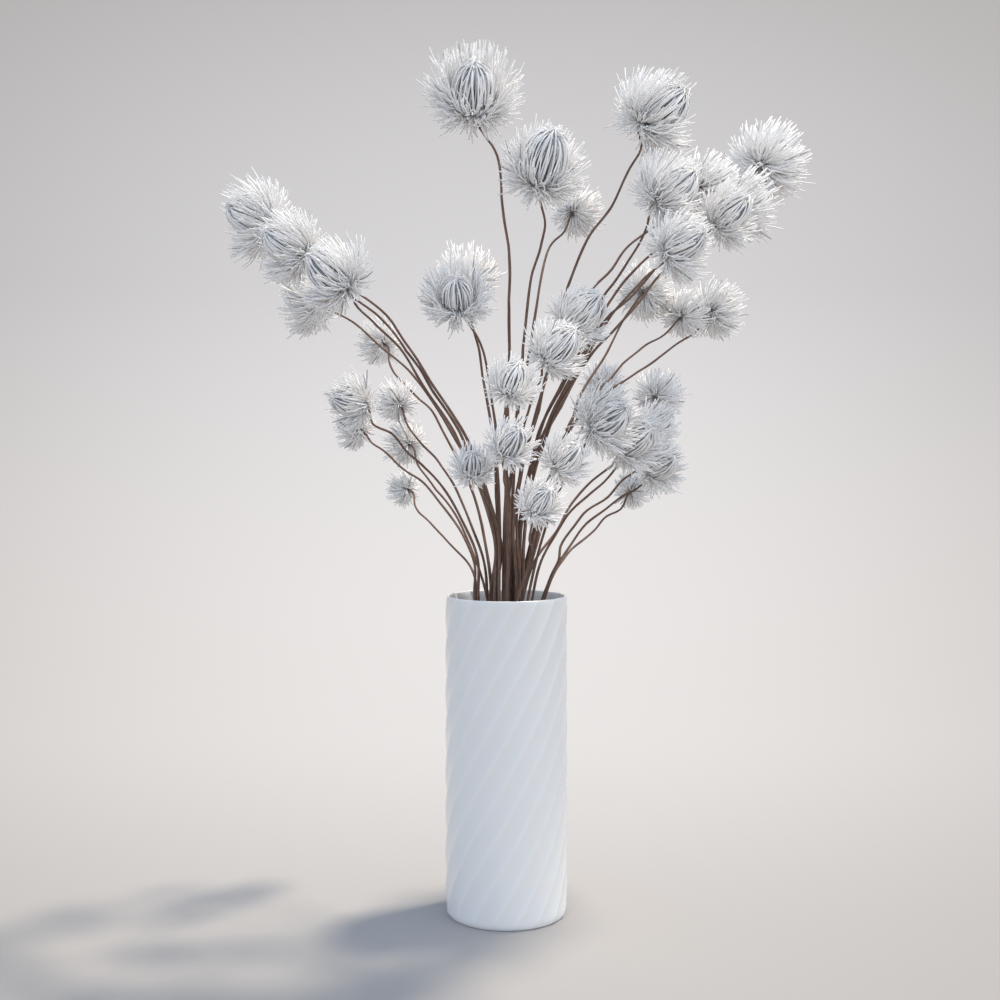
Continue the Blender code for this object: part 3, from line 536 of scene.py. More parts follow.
def grow(bm, corners, finish):
    """Grow closed tubes ring by ring, all at once.

    corners[tube, ring, corner] is a point, and the third argument has three numbers for it: grain or crest
    marks, or a bloom's painted shade and tone.
    """
    tube_of, corner_of = bm.verts.layers.int["tube"], bm.verts.layers.int["corner"]
    light_and_marks_of = bm.verts.layers.float_vector[PAINTED_LIGHT_AND_MARKS]
    tubes, rings, sides = corners.shape[:3]
    points, marks = corners.tolist(), np.broadcast_to(finish, corners.shape).tolist()
    circle = bmesh.ops.create_circle(bm, cap_ends=True, segments=sides, radius=1.0)["verts"]
    for corner, vert in enumerate(circle):
        vert[corner_of] = corner
    roots = list(circle[0].link_faces)
    while len(roots) < tubes:
        copies = bmesh.ops.duplicate(bm, geom=roots[:tubes - len(roots)])["geom"]
        roots.extend(item for item in copies if isinstance(item, bmesh.types.BMFace))
    for tube, root in enumerate(roots):
        for vert in root.verts:
            vert[tube_of] = tube
    verts = [vert for root in roots for vert in root.verts]
    edges = [edge for root in roots for edge in root.edges]
    for ring in range(rings):
        if ring:
            edges, verts = next_ring(bm, edges)
        for vert in verts:
            tube, corner = vert[tube_of], vert[corner_of]
            vert.co = points[tube][ring][corner]
            vert[light_and_marks_of] = marks[tube][ring][corner]
    bmesh.ops.edgeloop_fill(bm, edges=edges)


def rings_round(paths, radii, sides):
    """The corners of tubes round paths[tube, ring], with radii[tube, ring]."""
    ways = unit(np.gradient(paths, axis=1))
    steep = np.abs(ways[:, :1, 2]) > 0.9
    across = np.cross(ways[:, 0], np.where(steep, (1.0, 0.0, 0.0), (0.0, 0.0, 1.0)))
    spokes = np.empty_like(paths)
    for ring in range(paths.shape[1]):
        way = ways[:, ring]
        across = unit(across - (across * way).sum(-1, keepdims=True) * way)
        spokes[:, ring] = across
    others = np.cross(ways, spokes)
    angles = np.arange(sides)[:, None] * math.tau / sides
    round_it = np.cos(angles) * spokes[:, :, None] + np.sin(angles) * others[:, :, None]
    return paths[:, :, None] + radii[..., None, None] * round_it


def finish_piece(bm, name, material, node):
    """Turn a bmesh into a smooth piece that stands for a node."""
    for layer in ("tube", "corner"):
        bm.verts.layers.int.remove(bm.verts.layers.int[layer])
    bmesh.ops.recalc_face_normals(bm, faces=bm.faces)
    mesh = bpy.data.meshes.new(name)
    bm.to_mesh(mesh)
    bm.free()
    mesh.shade_smooth()
    mesh.materials.append(material)
    piece = bpy.data.objects.new(name, mesh)
    bpy.context.scene.collection.objects.link(piece)
    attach(piece, "root")
    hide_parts(node)
    return piece


def smooth_path(points, count):
    """Evenly spread points along a smooth curve through the given ones."""
    points = np.array(points, float)
    runs = np.linalg.norm(np.diff(points, axis=0), axis=1)
    knots = np.concatenate([[0], np.cumsum(runs)])
    slopes = np.diff(points, axis=0) / runs[:, None]
    ways = np.empty_like(points)
    ways[0], ways[-1] = slopes[0], slopes[-1]
    blended = runs[1:, None] * slopes[:-1] + runs[:-1, None] * slopes[1:]
    ways[1:-1] = blended / (runs[1:] + runs[:-1])[:, None]
    at = np.linspace(0, knots[-1], count)
    span = np.clip(np.searchsorted(knots, at, side="right") - 1, 0, len(runs) - 1)
    run = runs[span][:, None]
    t = (at - knots[span])[:, None] / run
    return ((2 * t**3 - 3 * t**2 + 1) * points[span] + (t**3 - 2 * t**2 + t) * run * ways[span]
            + (3 * t**2 - 2 * t**3) * points[span + 1] + (t**3 - t**2) * run * ways[span + 1])


# Vase

VASE_ROWS = 72
FLUTE_PHASES = (0.0, 0.05, 0.16, 0.32, 0.5, 0.68, 0.84, 0.95)
ROUND_STEPS = 6
LIP_STEPS = 8
FOOT_RING = 0.004
FOOT_HOLLOW = 0.0008


def vase_profile(settings):
    """Each ring's radius, height and share of the flutes' depth, from the foot to the floor inside."""
    rings = [(settings.foot_radius - 2 * FOOT_RING, FOOT_HOLLOW, 0.0),
             (settings.foot_radius - FOOT_RING, 0.0, 0.0)]
    for step in range(ROUND_STEPS + 1):
        angle = math.pi / 2 * step / ROUND_STEPS
        radius = settings.foot_radius + (settings.radius - settings.foot_radius) * math.sin(angle)
        rings.append((radius, settings.foot_round * (1 - math.cos(angle)), step / ROUND_STEPS))
    lip = settings.wall / 2
    shoulder = NECK_HEIGHT - lip
    rise = shoulder - settings.foot_round
    for row in range(1, VASE_ROWS + 1):
        rings.append((settings.radius, settings.foot_round + rise * row / VASE_ROWS, 1.0))
    for step in range(1, LIP_STEPS + 1):
        angle = math.pi * step / LIP_STEPS
        rings.append((settings.radius - lip + lip * math.cos(angle), shoulder + lip * math.sin(angle), 1.0))
    inner = settings.radius - settings.wall
    for row in range(1, VASE_ROWS + 1):
        rings.append((inner, shoulder + (VASE_FLOOR + settings.wall - shoulder) * row / VASE_ROWS, 1.0))
    for step in range(1, ROUND_STEPS + 1):
        angle = math.pi / 2 * step / ROUND_STEPS
        rings.append((inner - settings.wall * (1 - math.cos(angle)),
                      VASE_FLOOR + settings.wall * (1 - math.sin(angle)), 1 - step / ROUND_STEPS))
    return np.array(rings)


def build_vase(settings):
    radius, height, relief = (column[:, None] for column in vase_profile(settings).T)
    phases = np.tile(FLUTE_PHASES, settings.flutes)
    flute = np.repeat(np.arange(settings.flutes), len(FLUTE_PHASES))
    angles = (flute + phases) * math.tau / settings.flutes
    hollow = 4 * phases * (1 - phases)
    reach = radius - relief * settings.flute_depth * hollow
    turned = angles + settings.turn * height / NECK_HEIGHT
    corners = np.stack([reach * np.cos(turned), reach * np.sin(turned), height + 0 * turned], axis=-1)
    crest = relief * (1 - hollow)
    finish = np.stack([crest, 0 * crest, 0 * crest], axis=-1)
    bm = new_bmesh()
    grow(bm, corners[None], finish[None])
    finish_piece(bm, "fluted_vase", glaze_material(settings), "vase")


# Where the branches run

def unit(vector):
    vector = np.asarray(vector, float)
    return vector / np.linalg.norm(vector, axis=-1, keepdims=True)


def nearest(start_a, end_a, start_b, end_b):
    """The gap vector from a to b where two stretches lie nearest, and the share along a, by rows."""
    run_a, run_b, between = end_a - start_a, end_b - start_b, start_b - start_a
    aa = (run_a * run_a).sum(-1)
    bb = (run_b * run_b).sum(-1)
    ab = (run_a * run_b).sum(-1)
    a_between = (run_a * between).sum(-1)
    b_between = (run_b * between).sum(-1)
    spread = np.maximum(aa * bb - ab * ab, 1e-18)
    share_a = np.clip((a_between * bb - b_between * ab) / spread, 0, 1)
    share_b = np.clip((share_a * ab - b_between) / np.maximum(bb, 1e-18), 0, 1)
    share_a = np.clip((share_b * ab + a_between) / np.maximum(aa, 1e-18), 0, 1)
    gap = between + share_b[..., None] * run_b - share_a[..., None] * run_a
    return gap, share_a


def neck_places():
    """Where each branch passes the vase's mouth: tall ones inside, each on the side its bloom is on."""
    mains = [bloom for bloom in BLOOMS if bloom.fork_on is None]
    order = sorted(range(len(mains)), key=lambda index: -mains[index].seat[2])
    places = np.zeros((len(mains), 2))
    for rank, index in enumerate(order):
        places[index] = NECK_REACH * (rank + 0.5) / len(mains) * unit(mains[index].seat[:2])
    for _ in range(NECK_ROUNDS):
        gap = places[:, None] - places[None]
        distance = np.linalg.norm(gap, axis=-1) + np.eye(len(mains))
        short = np.clip(NECK_SPACING - distance, 0, None) * (1 - np.eye(len(mains)))
        places = places + NECK_STEP * (gap / distance[..., None] * short[..., None]).sum(1)
        reach = np.linalg.norm(places, axis=1, keepdims=True)
        places = places * np.minimum(1, NECK_REACH / reach)
    return {bloom.name: place for bloom, place in zip(mains, places)}


def bends_of(bloom):
    return [np.array(bend) / MILLIMETRES for bend in BENDS[bloom.name]]


def seat_end(bloom):
    """The last two points of a stem: a short straight run square to the bloom's flat seat."""
    way = unit(bloom.faces)
    seat = np.array(bloom.seat)
    return [seat - (SEAT_STRAIGHT + GAP) * way, seat - GAP * way]


def branch_route(bloom, place):
    """A branch from the vase's floor, through its mouth, to its bloom."""
    outside = np.linalg.norm(place) / NECK_REACH
    foot = np.array((*((1 - FOOT_DRAW_IN * outside) * place), VASE_FLOOR + GAP))
    waist = np.array((*((1 - WAIST_DRAW_IN * outside) * place), WAIST_HEIGHT))
    neck = np.array((*place, NECK_HEIGHT))
    rise = np.array((0, 0, FOOT_STRAIGHT))
    return [foot, foot + rise, waist, neck] + bends_of(bloom) + seat_end(bloom)


def point_at(points, height):
    """Where a route passes a height, and the way it runs there."""
    for low, high in zip(points, points[1:]):
        if low[2] <= height < high[2]:
            share = (height - low[2]) / (high[2] - low[2])
            return low + share * (high - low), unit(high - low)
    raise ValueError(f"no point of the branch at height {height}")


def twig_route(bloom, parent):
    """A twig from the fork on its branch to its bloom."""
    return [point_at(parent, bloom.fork_height)[0]] + bends_of(bloom) + seat_end(bloom)


def dome_span(bloom):
    """The line inside a bloom's dome whose surroundings the dome fills, and how far it fills them."""
    seat, way = np.array(bloom.seat), unit(bloom.faces)
    radius = DOME_RADIUS * bloom.across
    return seat + radius * way, seat + (DOME_TIP * bloom.across - radius) * way, radius


def stem_radius(bloom, height):
    """A stem is thin under its bloom and thickens downwards, up to a limit."""
    radius = STEM_RADIUS_LEAST + STEM_TAPER * (bloom.seat[2] - height)
    return STEM_SLIM * np.minimum(radius, STEM_RADIUS_MOST)


def shifts(points, low, high, reach, others, counts):
    """How far the points shift to keep their stretches off the others, and the worst shortfall."""
    other_low, other_high, other_reach = others
    gap, share = nearest(points[low][:, None], points[high][:, None], other_low[None], other_high[None])
    distance = np.linalg.norm(gap, axis=-1)
    need = reach[:, None] + other_reach[None] + STEM_CLEARANCE
    short = np.where(counts, np.clip(need - distance, 0, None), 0)
    away = -gap / np.maximum(distance, 1e-9)[..., None] * short[..., None]
    shift = np.zeros_like(points)
    np.add.at(shift, low, ((1 - share)[..., None] * away).sum(1))
    np.add.at(shift, high, (share[..., None] * away).sum(1))
    return shift, short.max()


def ease_apart(routes):
    """Bend routes that pass too near each other, or too near a dome, until they are clear.

    A branch's two lowest points stay, and so do a twig's fork and every stem's straight end.
    """
    stems = [bloom for bloom in BLOOMS if bloom.name in routes]
    points = np.concatenate([np.array(routes[bloom.name]) for bloom in stems])
    counts = [len(routes[bloom.name]) for bloom in stems]
    starts = np.cumsum([0] + counts[:-1])
    low = np.concatenate([start + np.arange(count - 1) for start, count in zip(starts, counts)])
    high = low + 1
    owners = [bloom for bloom, count in zip(stems, counts) for _ in range(count - 1)]
    free = np.ones((len(points), 1))
    for bloom, start, count in zip(stems, starts, counts):
        free[start:start + (1 if bloom.fork_on else 2)] = 0
        free[start + count - 2:start + count] = 0
    trees = np.array([bloom.fork_on or bloom.name for bloom in owners])
    other_tree = trees[:, None] != trees[None]
    other_bloom = np.array([[bloom is not owner for bloom in BLOOMS] for owner in owners])
    domes = tuple(np.array(column) for column in zip(*(dome_span(bloom) for bloom in BLOOMS)))
    tops = np.array([bloom.seat[2] for bloom in owners])
    for _ in range(EASE_ROUNDS):
        middle = (points[low, 2] + points[high, 2]) / 2
        reach = np.minimum(STEM_RADIUS_LEAST + STEM_TAPER * (tops - middle), STEM_RADIUS_MOST)
        stretches = (points[low], points[high], reach)
        from_stems, worst_stem = shifts(points, low, high, reach, stretches, other_tree)
        from_domes, worst_dome = shifts(points, low, high, reach, domes, other_bloom)
        if max(worst_stem, worst_dome) < EASE_ENOUGH:
            break
        points = points + EASE_STEP * (from_stems + from_domes) * free
    return {bloom.name: points[start:start + count] for bloom, start, count in zip(stems, starts, counts)}


def all_routes():
    places = neck_places()
    routes = {}
    for bloom in BLOOMS:
        if bloom.fork_on is None:
            routes[bloom.name] = branch_route(bloom, places[bloom.name])
    for bloom in BLOOMS:
        if bloom.fork_on:
            routes[bloom.name] = twig_route(bloom, routes[bloom.fork_on])
    routes = ease_apart(routes)
    for bloom in BLOOMS:
        if bloom.fork_on:
            routes[bloom.name][0] = point_at(routes[bloom.fork_on], bloom.fork_height)[0]
    return routes


# Stems

STEM_SWELL = 0.05
GRAIN_RADIUS = 2
GRAIN_LENGTH = 40


def below_fork(parent, height):
    """The part of a route that lies below a height."""
    return [point for point in parent if point[2] < height]


def square_to(way, vector):
    """The part of a vector that is square to a way, one long."""
    return unit(vector - np.dot(vector, way) * way)


def twin_path(twig, routes, crowd):
    """A twig's whole course: it lies against its branch from the vase's floor to the fork.

    It starts on the side of the branch where the other stems leave most room, and winds round to the
    side on which it leaves.
    """
    parent = routes[twig.fork_on]
    fork, way = point_at(parent, twig.fork_height)
    own = routes[twig.name]
    beside = TWIN_SNUG * 2 * STEM_RADIUS_MOST
    first = square_to(way, own[2] - fork)
    second = np.cross(way, first)
    low = below_fork(parent, twig.fork_height)
    turns = np.arange(TWIN_SIDES) * math.tau / TWIN_SIDES - math.pi

    def course(turn):
        lifts = np.array([point[2] for point in low]) / twig.fork_height
        angles = turn * (1 - lifts ** 2)
        return np.array(low) + beside * (np.cos(angles)[:, None] * first + np.sin(angles)[:, None] * second)

    def room(turn):
        gap = np.linalg.norm(course(turn)[:, None] - crowd[None], axis=-1)
        return gap.min()

    best = max(turns, key=room)
    return np.concatenate([course(best), [fork + beside * first], own[1:]])


def kinked(points, settings, draw):
    """A path that strays a little from kink to kink where it is clear of the vase."""
    along = np.concatenate([[0], np.cumsum(np.linalg.norm(np.diff(points, axis=0), axis=1))])
    count = max(3, round(along[-1] / settings.kink_spacing))
    kinks = np.linspace(0, along[-1], count)
    strays = np.array([[draw.uniform(-1, 1) for _ in range(3)] for _ in range(count)])
    strays[-2:] = 0
    stray = np.stack([np.interp(along, kinks, column) for column in strays.T], axis=-1)
    free = np.clip((points[:, 2] - KINKS_FROM) / (KINKS_FULL_FROM - KINKS_FROM), 0, 1)
    return points + settings.kink * free[:, None] * stray


def stem_tube(bm, bloom, points, settings, draw):
    points = np.array([*points, np.array(bloom.seat) + STEM_INTO_BLOOM * bloom.across * unit(bloom.faces)])
    length = np.linalg.norm(np.diff(points, axis=0), axis=1).sum()
    count = round(length / STEM_POINT_SPACING)
    path = kinked(smooth_path(points, count), settings, draw)
    radii = stem_radius(bloom, path[:, 2])
    swell = 1 + STEM_SWELL * np.sin(np.arange(count) * draw.uniform(0.5, 0.8) + draw.uniform(0, 6))
    corners = rings_round(path[None], (radii * swell)[None], settings.sides)
    angles = np.arange(settings.sides) * math.tau / settings.sides
    along = np.linspace(0, length, count)[:, None] * GRAIN_LENGTH + draw.uniform(0, 100)
    grain = (GRAIN_RADIUS * np.cos(angles), GRAIN_RADIUS * np.sin(angles), along)
    grow(bm, corners, np.stack(np.broadcast_arrays(*grain), axis=-1)[None])


def build_stems(settings):
    draw = random.Random(3)
    routes = all_routes()
    material = bark_material(settings)
    mains = [bloom for bloom in BLOOMS if bloom.fork_on is None]
    for bloom in mains:
        crowd = np.concatenate([smooth_path(routes[other.name], 60)
                                for other in mains if other is not bloom])
        bm = new_bmesh()
        stem_tube(bm, bloom, routes[bloom.name], settings, draw)
        for twig in BLOOMS:
            if twig.fork_on == bloom.name:
                stem_tube(bm, twig, twin_path(twig, routes, crowd), settings, draw)
        finish_piece(bm, f"branch_{bloom.name}", material, f"stem_{bloom.name}")


# Blooms

STRAND_RINGS = 10
STRAND_SIDES = 5
UNDER_RINGS = 7
UNDER_SIDES = 3
CORE_SIDES = 14
FILAMENT_RINGS = 6
FILAMENT_SIDES = 4
# The under-layer of strands is a little smaller and painted darker, as shade under the outer strands
UNDER_SCALE = 0.90
UNDER_PAINTED_SHADE = 0.78
TIP_LEAN = 0.24
ROOT_LEAN = 0.10
TUFTS = 90
TUFT_PULL = 0.24
LIFT_LEAST = math.radians(-66)
LIFT_MOST = math.radians(54)
LIFT_LEAN = math.radians(50)
ROOT_DROOP = math.radians(16)
ROOT_PULL = 0.15
TIP_PULL = 0.18
FULL_WIDTH = 0.09
SMALL_SLIM = 0.6
FILAMENT_GROWTH = 1.1


def turned(profile, azimuth):
    """Points of a flat profile of radius and height, turned to an azimuth."""
    radius, height = profile[..., 0], profile[..., 1]
    return np.stack([radius * np.cos(azimuth), radius * np.sin(azimuth), height + 0 * azimuth], axis=-1)


def direction(lift, azimuth):
    return np.stack([np.cos(lift) * np.cos(azimuth), np.cos(lift) * np.sin(azimuth), np.sin(lift)], axis=-1)


def strand_paths(count, rings, scale, draw):
    """Incurved strands round a dome one across its bloom's width, each a little off the even pattern.

    Each starts in a small free hook outside the dome's base. Its tip may stop short of the apex or
    cross over it.
    """
    base = smooth_path(STRAND_PROFILE, rings)
    share = np.linspace(0, 1, rings)
    azimuth = (np.arange(count) + draw.uniform(-0.3, 0.3, count)) * math.tau / count
    lean = draw.normal(0, TIP_LEAN, (count, 1)) * share**2
    lean = lean + draw.normal(0, ROOT_LEAN, (count, 1)) * (1 - share) ** 2
    wide = scale * (0.96 + draw.exponential(0.035, (count, 1)))
    tall = draw.uniform(0.93, 1.06, (count, 1)) * (0.35 + 0.65 * scale)
    hang = draw.uniform(-0.045, 0.03, (count, 1)) * (1 - share) ** 3
    hang = hang + draw.normal(0, 0.018, (count, 1)) * share**4
    radius = base[:, 0] * wide - draw.uniform(0, STRAND_CROSSES, (count, 1)) * share**6
    return turned(np.stack([radius, base[:, 1] * tall + hang], axis=-1), azimuth[:, None] + lean)


def filament_paths(count, down, draw):
    """Filaments that leave the bloom's base, curve up and end near a sphere round it, in loose tufts.

    The upper ones stand round the dome, higher on the side that leans up, and the lowest ones droop
    round the stem. All sag a little.
    """
    order = (np.arange(count) + draw.uniform(0, 1, count)) / count
    azimuth = np.arange(count) * GOLDEN_ANGLE + draw.normal(0, 0.12, count)
    low = math.sin(LIFT_LEAST)
    high = np.sin(LIFT_MOST - LIFT_LEAN * (direction(0 * azimuth, azimuth) @ down))
    lift = np.arcsin(low + (high - low) * order)
    tips = direction(lift, azimuth)
    tufts = tips[draw.choice(count, TUFTS, replace=False)]
    pull = tufts[(tips @ tufts.T).argmax(1)]
    tips = unit(tips + TUFT_PULL * (pull - tips) + SAG * down)
    reach = BLOOM_REACH * (REACH_LEAST + (1 - REACH_LEAST) * draw.uniform(0, 1, count) ** 0.7)
    reach = reach * np.where(draw.uniform(0, 1, count) < STRAY_SHARE, STRAY_REACH, 1)
    reach = reach * (1 - CROWN_SHORTER * np.sin(lift).clip(0))
    end = reach[:, None] * tips + (0, 0, BLOOM_CENTRE)
    root = turned(np.stack([0.04 + 0.12 * order, 0.03 * order], axis=-1), azimuth)
    out = direction(lift * 0.5 - ROOT_DROOP, azimuth)
    final = direction(lift + CURL * np.cos(lift) + draw.normal(0, 0.20, count),
                      azimuth + draw.normal(0, 0.30, count))
    first = root + ROOT_PULL * out
    second = end - TIP_PULL * final
    t = np.linspace(0, 1, FILAMENT_RINGS)[:, None]
    return ((1 - t) ** 3 * root[:, None] + 3 * t * (1 - t) ** 2 * first[:, None]
            + 3 * t**2 * (1 - t) * second[:, None] + t**3 * end[:, None])


def clear_of_domes(paths, bloom):
    """Which paths keep out of the other blooms' domes."""
    keep = np.ones(len(paths), bool)
    for other in BLOOMS:
        if other is bloom:
            continue
        start, end, radius = dome_span(other)
        run = end - start
        share = np.clip(((paths - start) @ run) / (run @ run), 0, 1)
        gap = np.linalg.norm(paths - (start + share[..., None] * run), axis=-1)
        keep &= (gap > radius).all(axis=1)
    return keep


def painted_shade_and_tone(shades, tones):
    """Numbers of every corner from a painted shade by ring and a tone by tube."""
    shades = np.broadcast_to(shades, (len(tones), shades.shape[-1]))
    tones = np.broadcast_to(tones[:, None], shades.shape)
    return np.stack([shades, tones, 0 * shades], axis=-1)[:, :, None]


def build_bloom(bloom, settings, material, draw):
    size = bloom.across
    frame_of = np.array(Vector(bloom.faces).to_track_quat("Z", "Y").to_matrix())
    seat = np.array(bloom.seat)

    def placed(paths):
        return seat + size * paths @ frame_of.T

    bm = new_bmesh()
    core = np.array(CORE_PROFILE)
    angles = np.arange(CORE_SIDES) * math.tau / CORE_SIDES
    dome = DOME_SIZES.get(bloom.name, DOME_SIZE)
    # Painted shade: the core takes the root colour in full, a body of painted shade seen through the gaps
    # between the strands
    gap_shade = painted_shade_and_tone(np.zeros(len(core)), np.zeros(1))
    grow(bm, placed(dome * turned(core[None, :, None], angles)), gap_shade)

    strands = round(math.tau * DOME_RADIUS * dome * size / settings.strand_spacing)
    slim = SMALL_SLIM + (1 - SMALL_SLIM) * size / FULL_WIDTH
    # The second layer of strands lies under the first and is painted darker as shade beneath it; each
    # strand's tone also differs at random
    for rings, sides, scale, under_shade in ((STRAND_RINGS, STRAND_SIDES, 1.0, 1.0),
                                     (UNDER_RINGS, UNDER_SIDES, UNDER_SCALE, UNDER_PAINTED_SHADE)):
        paths = dome * strand_paths(strands, rings, scale, draw)
        share = np.linspace(0, 1, rings)
        radii = settings.strand_radius * slim * np.interp(share, *STRAND_THICKNESS)
        radii = radii * draw.uniform(0.85, 1.1, (strands, 1))
        tones = under_shade * draw.uniform(0.78, 1.0, strands)
        finish = painted_shade_and_tone(np.interp(share, *STRAND_PAINTED_SHADE), tones)
        grow(bm, rings_round(placed(paths), radii, sides), finish)

    count = round(settings.filaments * (size / FULL_WIDTH) ** FILAMENT_GROWTH)
    paths = placed(filament_paths(count, frame_of.T @ (0, 0, -1), draw))
    paths = paths[clear_of_domes(paths, bloom)]
    share = np.linspace(0, 1, FILAMENT_RINGS)
    radii = settings.filament_radius * slim * np.interp(share, *FILAMENT_THICKNESS)
    radii = radii * draw.uniform(0.8, 1.2, (len(paths), 1))
    grey = draw.uniform(0, 1, len(paths)) < settings.grey_share
    tones = np.where(grey, draw.uniform(0.05, 0.4, len(paths)), draw.uniform(0.88, 1.0, len(paths)))
    finish = painted_shade_and_tone(np.interp(share, *FILAMENT_PAINTED_SHADE), tones)
    grow(bm, rings_round(paths, radii, FILAMENT_SIDES), finish)
    finish_piece(bm, f"head_{bloom.name}", material, f"bloom_{bloom.name}")


def build_blooms(settings):
    material = filament_material(settings)
    draw = np.random.default_rng(11)
    for bloom in BLOOMS:
        build_bloom(bloom, settings, material, draw)


# Stage

LAMP_FROM = (0.35, 0.18, 1.0)
RIGHT_FILL_FROM = (0.78, -0.61, 0.16)
LEFT_FILL_FROM = (-0.88, -0.44, 0.16)
FLOOR_FRONT = -9.0
FLOOR_BACK = 1.6
FLOOR_HALF_WIDTH = 14.0
COVE_RADIUS = 5.0
COVE_ANGLE = math.radians(40)
COVE_STEPS = 40
RAMP_LENGTH = 12.0
CAMERA_PLACE = (-0.006, -1.316, 0.437)
CAMERA_LENS = 50
CAMERA_SENSOR = 36
HORIZON_ABOVE_MIDDLE = 0.0495


def build_backdrop(settings):
    """A floor that curves up into a sloping backdrop, as one sheet."""
    bm = bmesh.new()
    ends = [bm.verts.new((side * FLOOR_HALF_WIDTH, FLOOR_FRONT, 0)) for side in (-1, 1)]
    edges = [bm.edges.new(ends)]
    profile = [(FLOOR_BACK, 0.0)]
    for step in range(1, COVE_STEPS + 1):
        angle = COVE_ANGLE * step / COVE_STEPS
        profile.append((FLOOR_BACK + COVE_RADIUS * math.sin(angle), COVE_RADIUS * (1 - math.cos(angle))))
    back, height = profile[-1]
    profile.append((back + RAMP_LENGTH * math.cos(COVE_ANGLE), height + RAMP_LENGTH * math.sin(COVE_ANGLE)))
    for back, height in profile:
        edges, verts = next_ring(bm, edges)
        for vert in verts:
            vert.co.y, vert.co.z = back, height
    bmesh.ops.recalc_face_normals(bm, faces=bm.faces)
    if sum(face.normal.z for face in bm.faces) < 0:
        bmesh.ops.reverse_faces(bm, faces=bm.faces)
    mesh = bpy.data.meshes.new("backdrop")
    bm.to_mesh(mesh)
    bm.free()
    mesh.shade_smooth()
    mesh.materials.append(paper_material(settings))
    backdrop = bpy.data.objects.new("backdrop", mesh)
    bpy.context.scene.collection.objects.link(backdrop)


def build_lamp(name, place, colour, strength, angle):
    """A lamp so far away that its light falls everywhere from the same side."""
    lamp = bpy.data.lights.new(name, "SUN")
    lamp.energy = strength
    lamp.color = colour
    lamp.angle = angle
    holder = bpy.data.objects.new(name, lamp)
    holder.rotation_euler = Vector(place).to_track_quat("Z", "Y").to_euler()
    bpy.context.scene.collection.objects.link(holder)


def build_lights(settings):
    """A warm lamp high on the right, a wide fill from each side, and cool light from all round.

    Past the backdrop a grey wall is seen.
    """
    build_lamp("distant_lamp", LAMP_FROM, settings.lamp, settings.lamp_strength, settings.lamp_angle)
    build_lamp("right_fill", RIGHT_FILL_FROM, settings.fill, settings.right_fill, settings.fill_angle)
    build_lamp("left_fill", LEFT_FILL_FROM, settings.fill, settings.left_fill, settings.fill_angle)
    world = bpy.data.worlds.new("soft_sky")
    world.use_nodes = True
    world.node_tree.nodes.clear()
    start = Socket(world.node_tree)
    sky = start.node("ShaderNodeBackground", {},
                     {"Color": (*settings.sky, 1.0), "Strength": settings.sky_strength}, "Background")
    wall = start.node("ShaderNodeBackground", {}, {"Color": (*settings.wall, 1.0)}, "Background")
    seen = start.node("ShaderNodeLightPath", {}, {}, "Is Camera Ray")
    room = start.node("ShaderNodeMixShader", {}, {0: seen, 1: sky, 2: wall}, "Shader")
    start.node("ShaderNodeOutputWorld", {}, {"Surface": room})
    bpy.context.scene.world = world


def build_camera():
    camera = bpy.data.cameras.new("camera")
    camera.lens = CAMERA_LENS
    camera.sensor_width = CAMERA_SENSOR
    camera.shift_y = -HORIZON_ABOVE_MIDDLE
    holder = bpy.data.objects.new("camera", camera)
    holder.location = CAMERA_PLACE
    holder.rotation_euler = (math.pi / 2, 0, 0)
    bpy.context.scene.collection.objects.link(holder)
    bpy.context.scene.camera = holder


# Add-on

class ARRANGEMENT_OT_vase(bpy.types.Operator):
    """Put the finely fluted, glazed vase in place of the plain one"""
    bl_idname = "arrangement.vase"
    bl_label = "Fluted Vase"

    def execute(self, context):
        build_vase(context.scene.arrangement_vase)
        return {"FINISHED"}


class ARRANGEMENT_OT_stems(bpy.types.Operator):
    """Put fibrous forked branches in place of the plain ones"""
    bl_idname = "arrangement.stems"
    bl_label = "Branches"

    def execute(self, context):
        build_stems(context.scene.arrangement_stems)
        return {"FINISHED"}


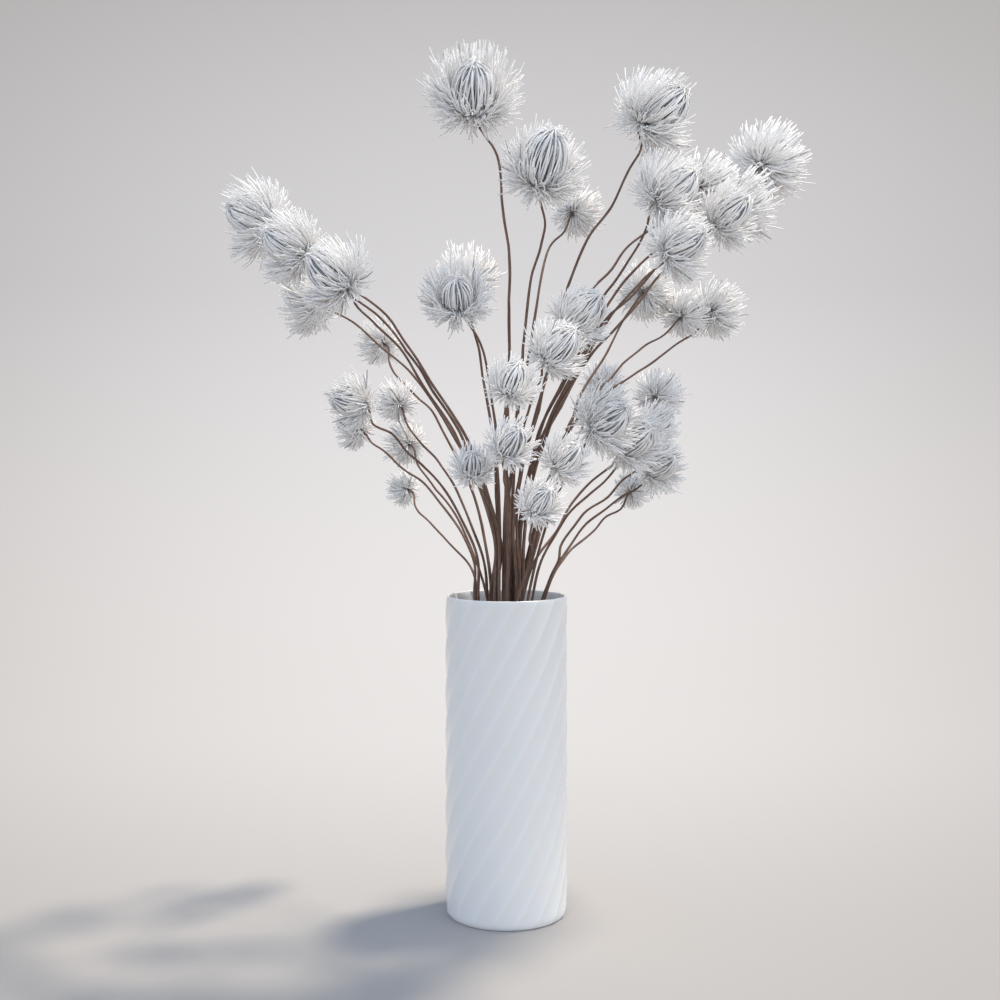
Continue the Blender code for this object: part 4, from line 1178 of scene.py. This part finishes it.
class ARRANGEMENT_OT_blooms(bpy.types.Operator):
    """Put blooms of fine filaments in place of the plain ones"""
    bl_idname = "arrangement.blooms"
    bl_label = "Blooms"

    def execute(self, context):
        build_blooms(context.scene.arrangement_blooms)
        return {"FINISHED"}


class ARRANGEMENT_OT_stage(bpy.types.Operator):
    """Set up the backdrop, the lights and the camera"""
    bl_idname = "arrangement.stage"
    bl_label = "Studio"

    def execute(self, context):
        build_backdrop(context.scene.arrangement_stage)
        build_lights(context.scene.arrangement_stage)
        build_camera()
        context.scene.view_settings.view_transform = "Standard"
        return {"FINISHED"}


class ARRANGEMENT_PT_panel(bpy.types.Panel):
    """The steps that build the arrangement, with their settings"""
    bl_idname = "ARRANGEMENT_PT_panel"
    bl_label = "Flower Arrangement"
    bl_space_type = "VIEW_3D"
    bl_region_type = "UI"
    bl_category = "Arrangement"

    def draw(self, context):
        for step, (settings, operator) in STEPS.items():
            box = self.layout.box()
            group = getattr(context.scene, f"arrangement_{step}")
            for name in settings.__annotations__:
                box.prop(group, name)
            box.operator(operator.bl_idname)


STEPS = {
    "vase": (VaseSettings, ARRANGEMENT_OT_vase),
    "stems": (StemSettings, ARRANGEMENT_OT_stems),
    "blooms": (BloomSettings, ARRANGEMENT_OT_blooms),
    "stage": (StageSettings, ARRANGEMENT_OT_stage),
}


def register():
    for step, (settings, operator) in STEPS.items():
        bpy.utils.register_class(settings)
        setattr(bpy.types.Scene, f"arrangement_{step}", PointerProperty(type=settings))
        bpy.utils.register_class(operator)
    bpy.utils.register_class(ARRANGEMENT_PT_panel)


def unregister():
    bpy.utils.unregister_class(ARRANGEMENT_PT_panel)
    for step, (settings, operator) in STEPS.items():
        bpy.utils.unregister_class(operator)
        delattr(bpy.types.Scene, f"arrangement_{step}")
        bpy.utils.unregister_class(settings)


def main():
    register()
    bpy.ops.arrangement.vase()
    bpy.ops.arrangement.stems()
    bpy.ops.arrangement.blooms()
    bpy.ops.arrangement.stage()


if __name__ == "__main__":
    main()
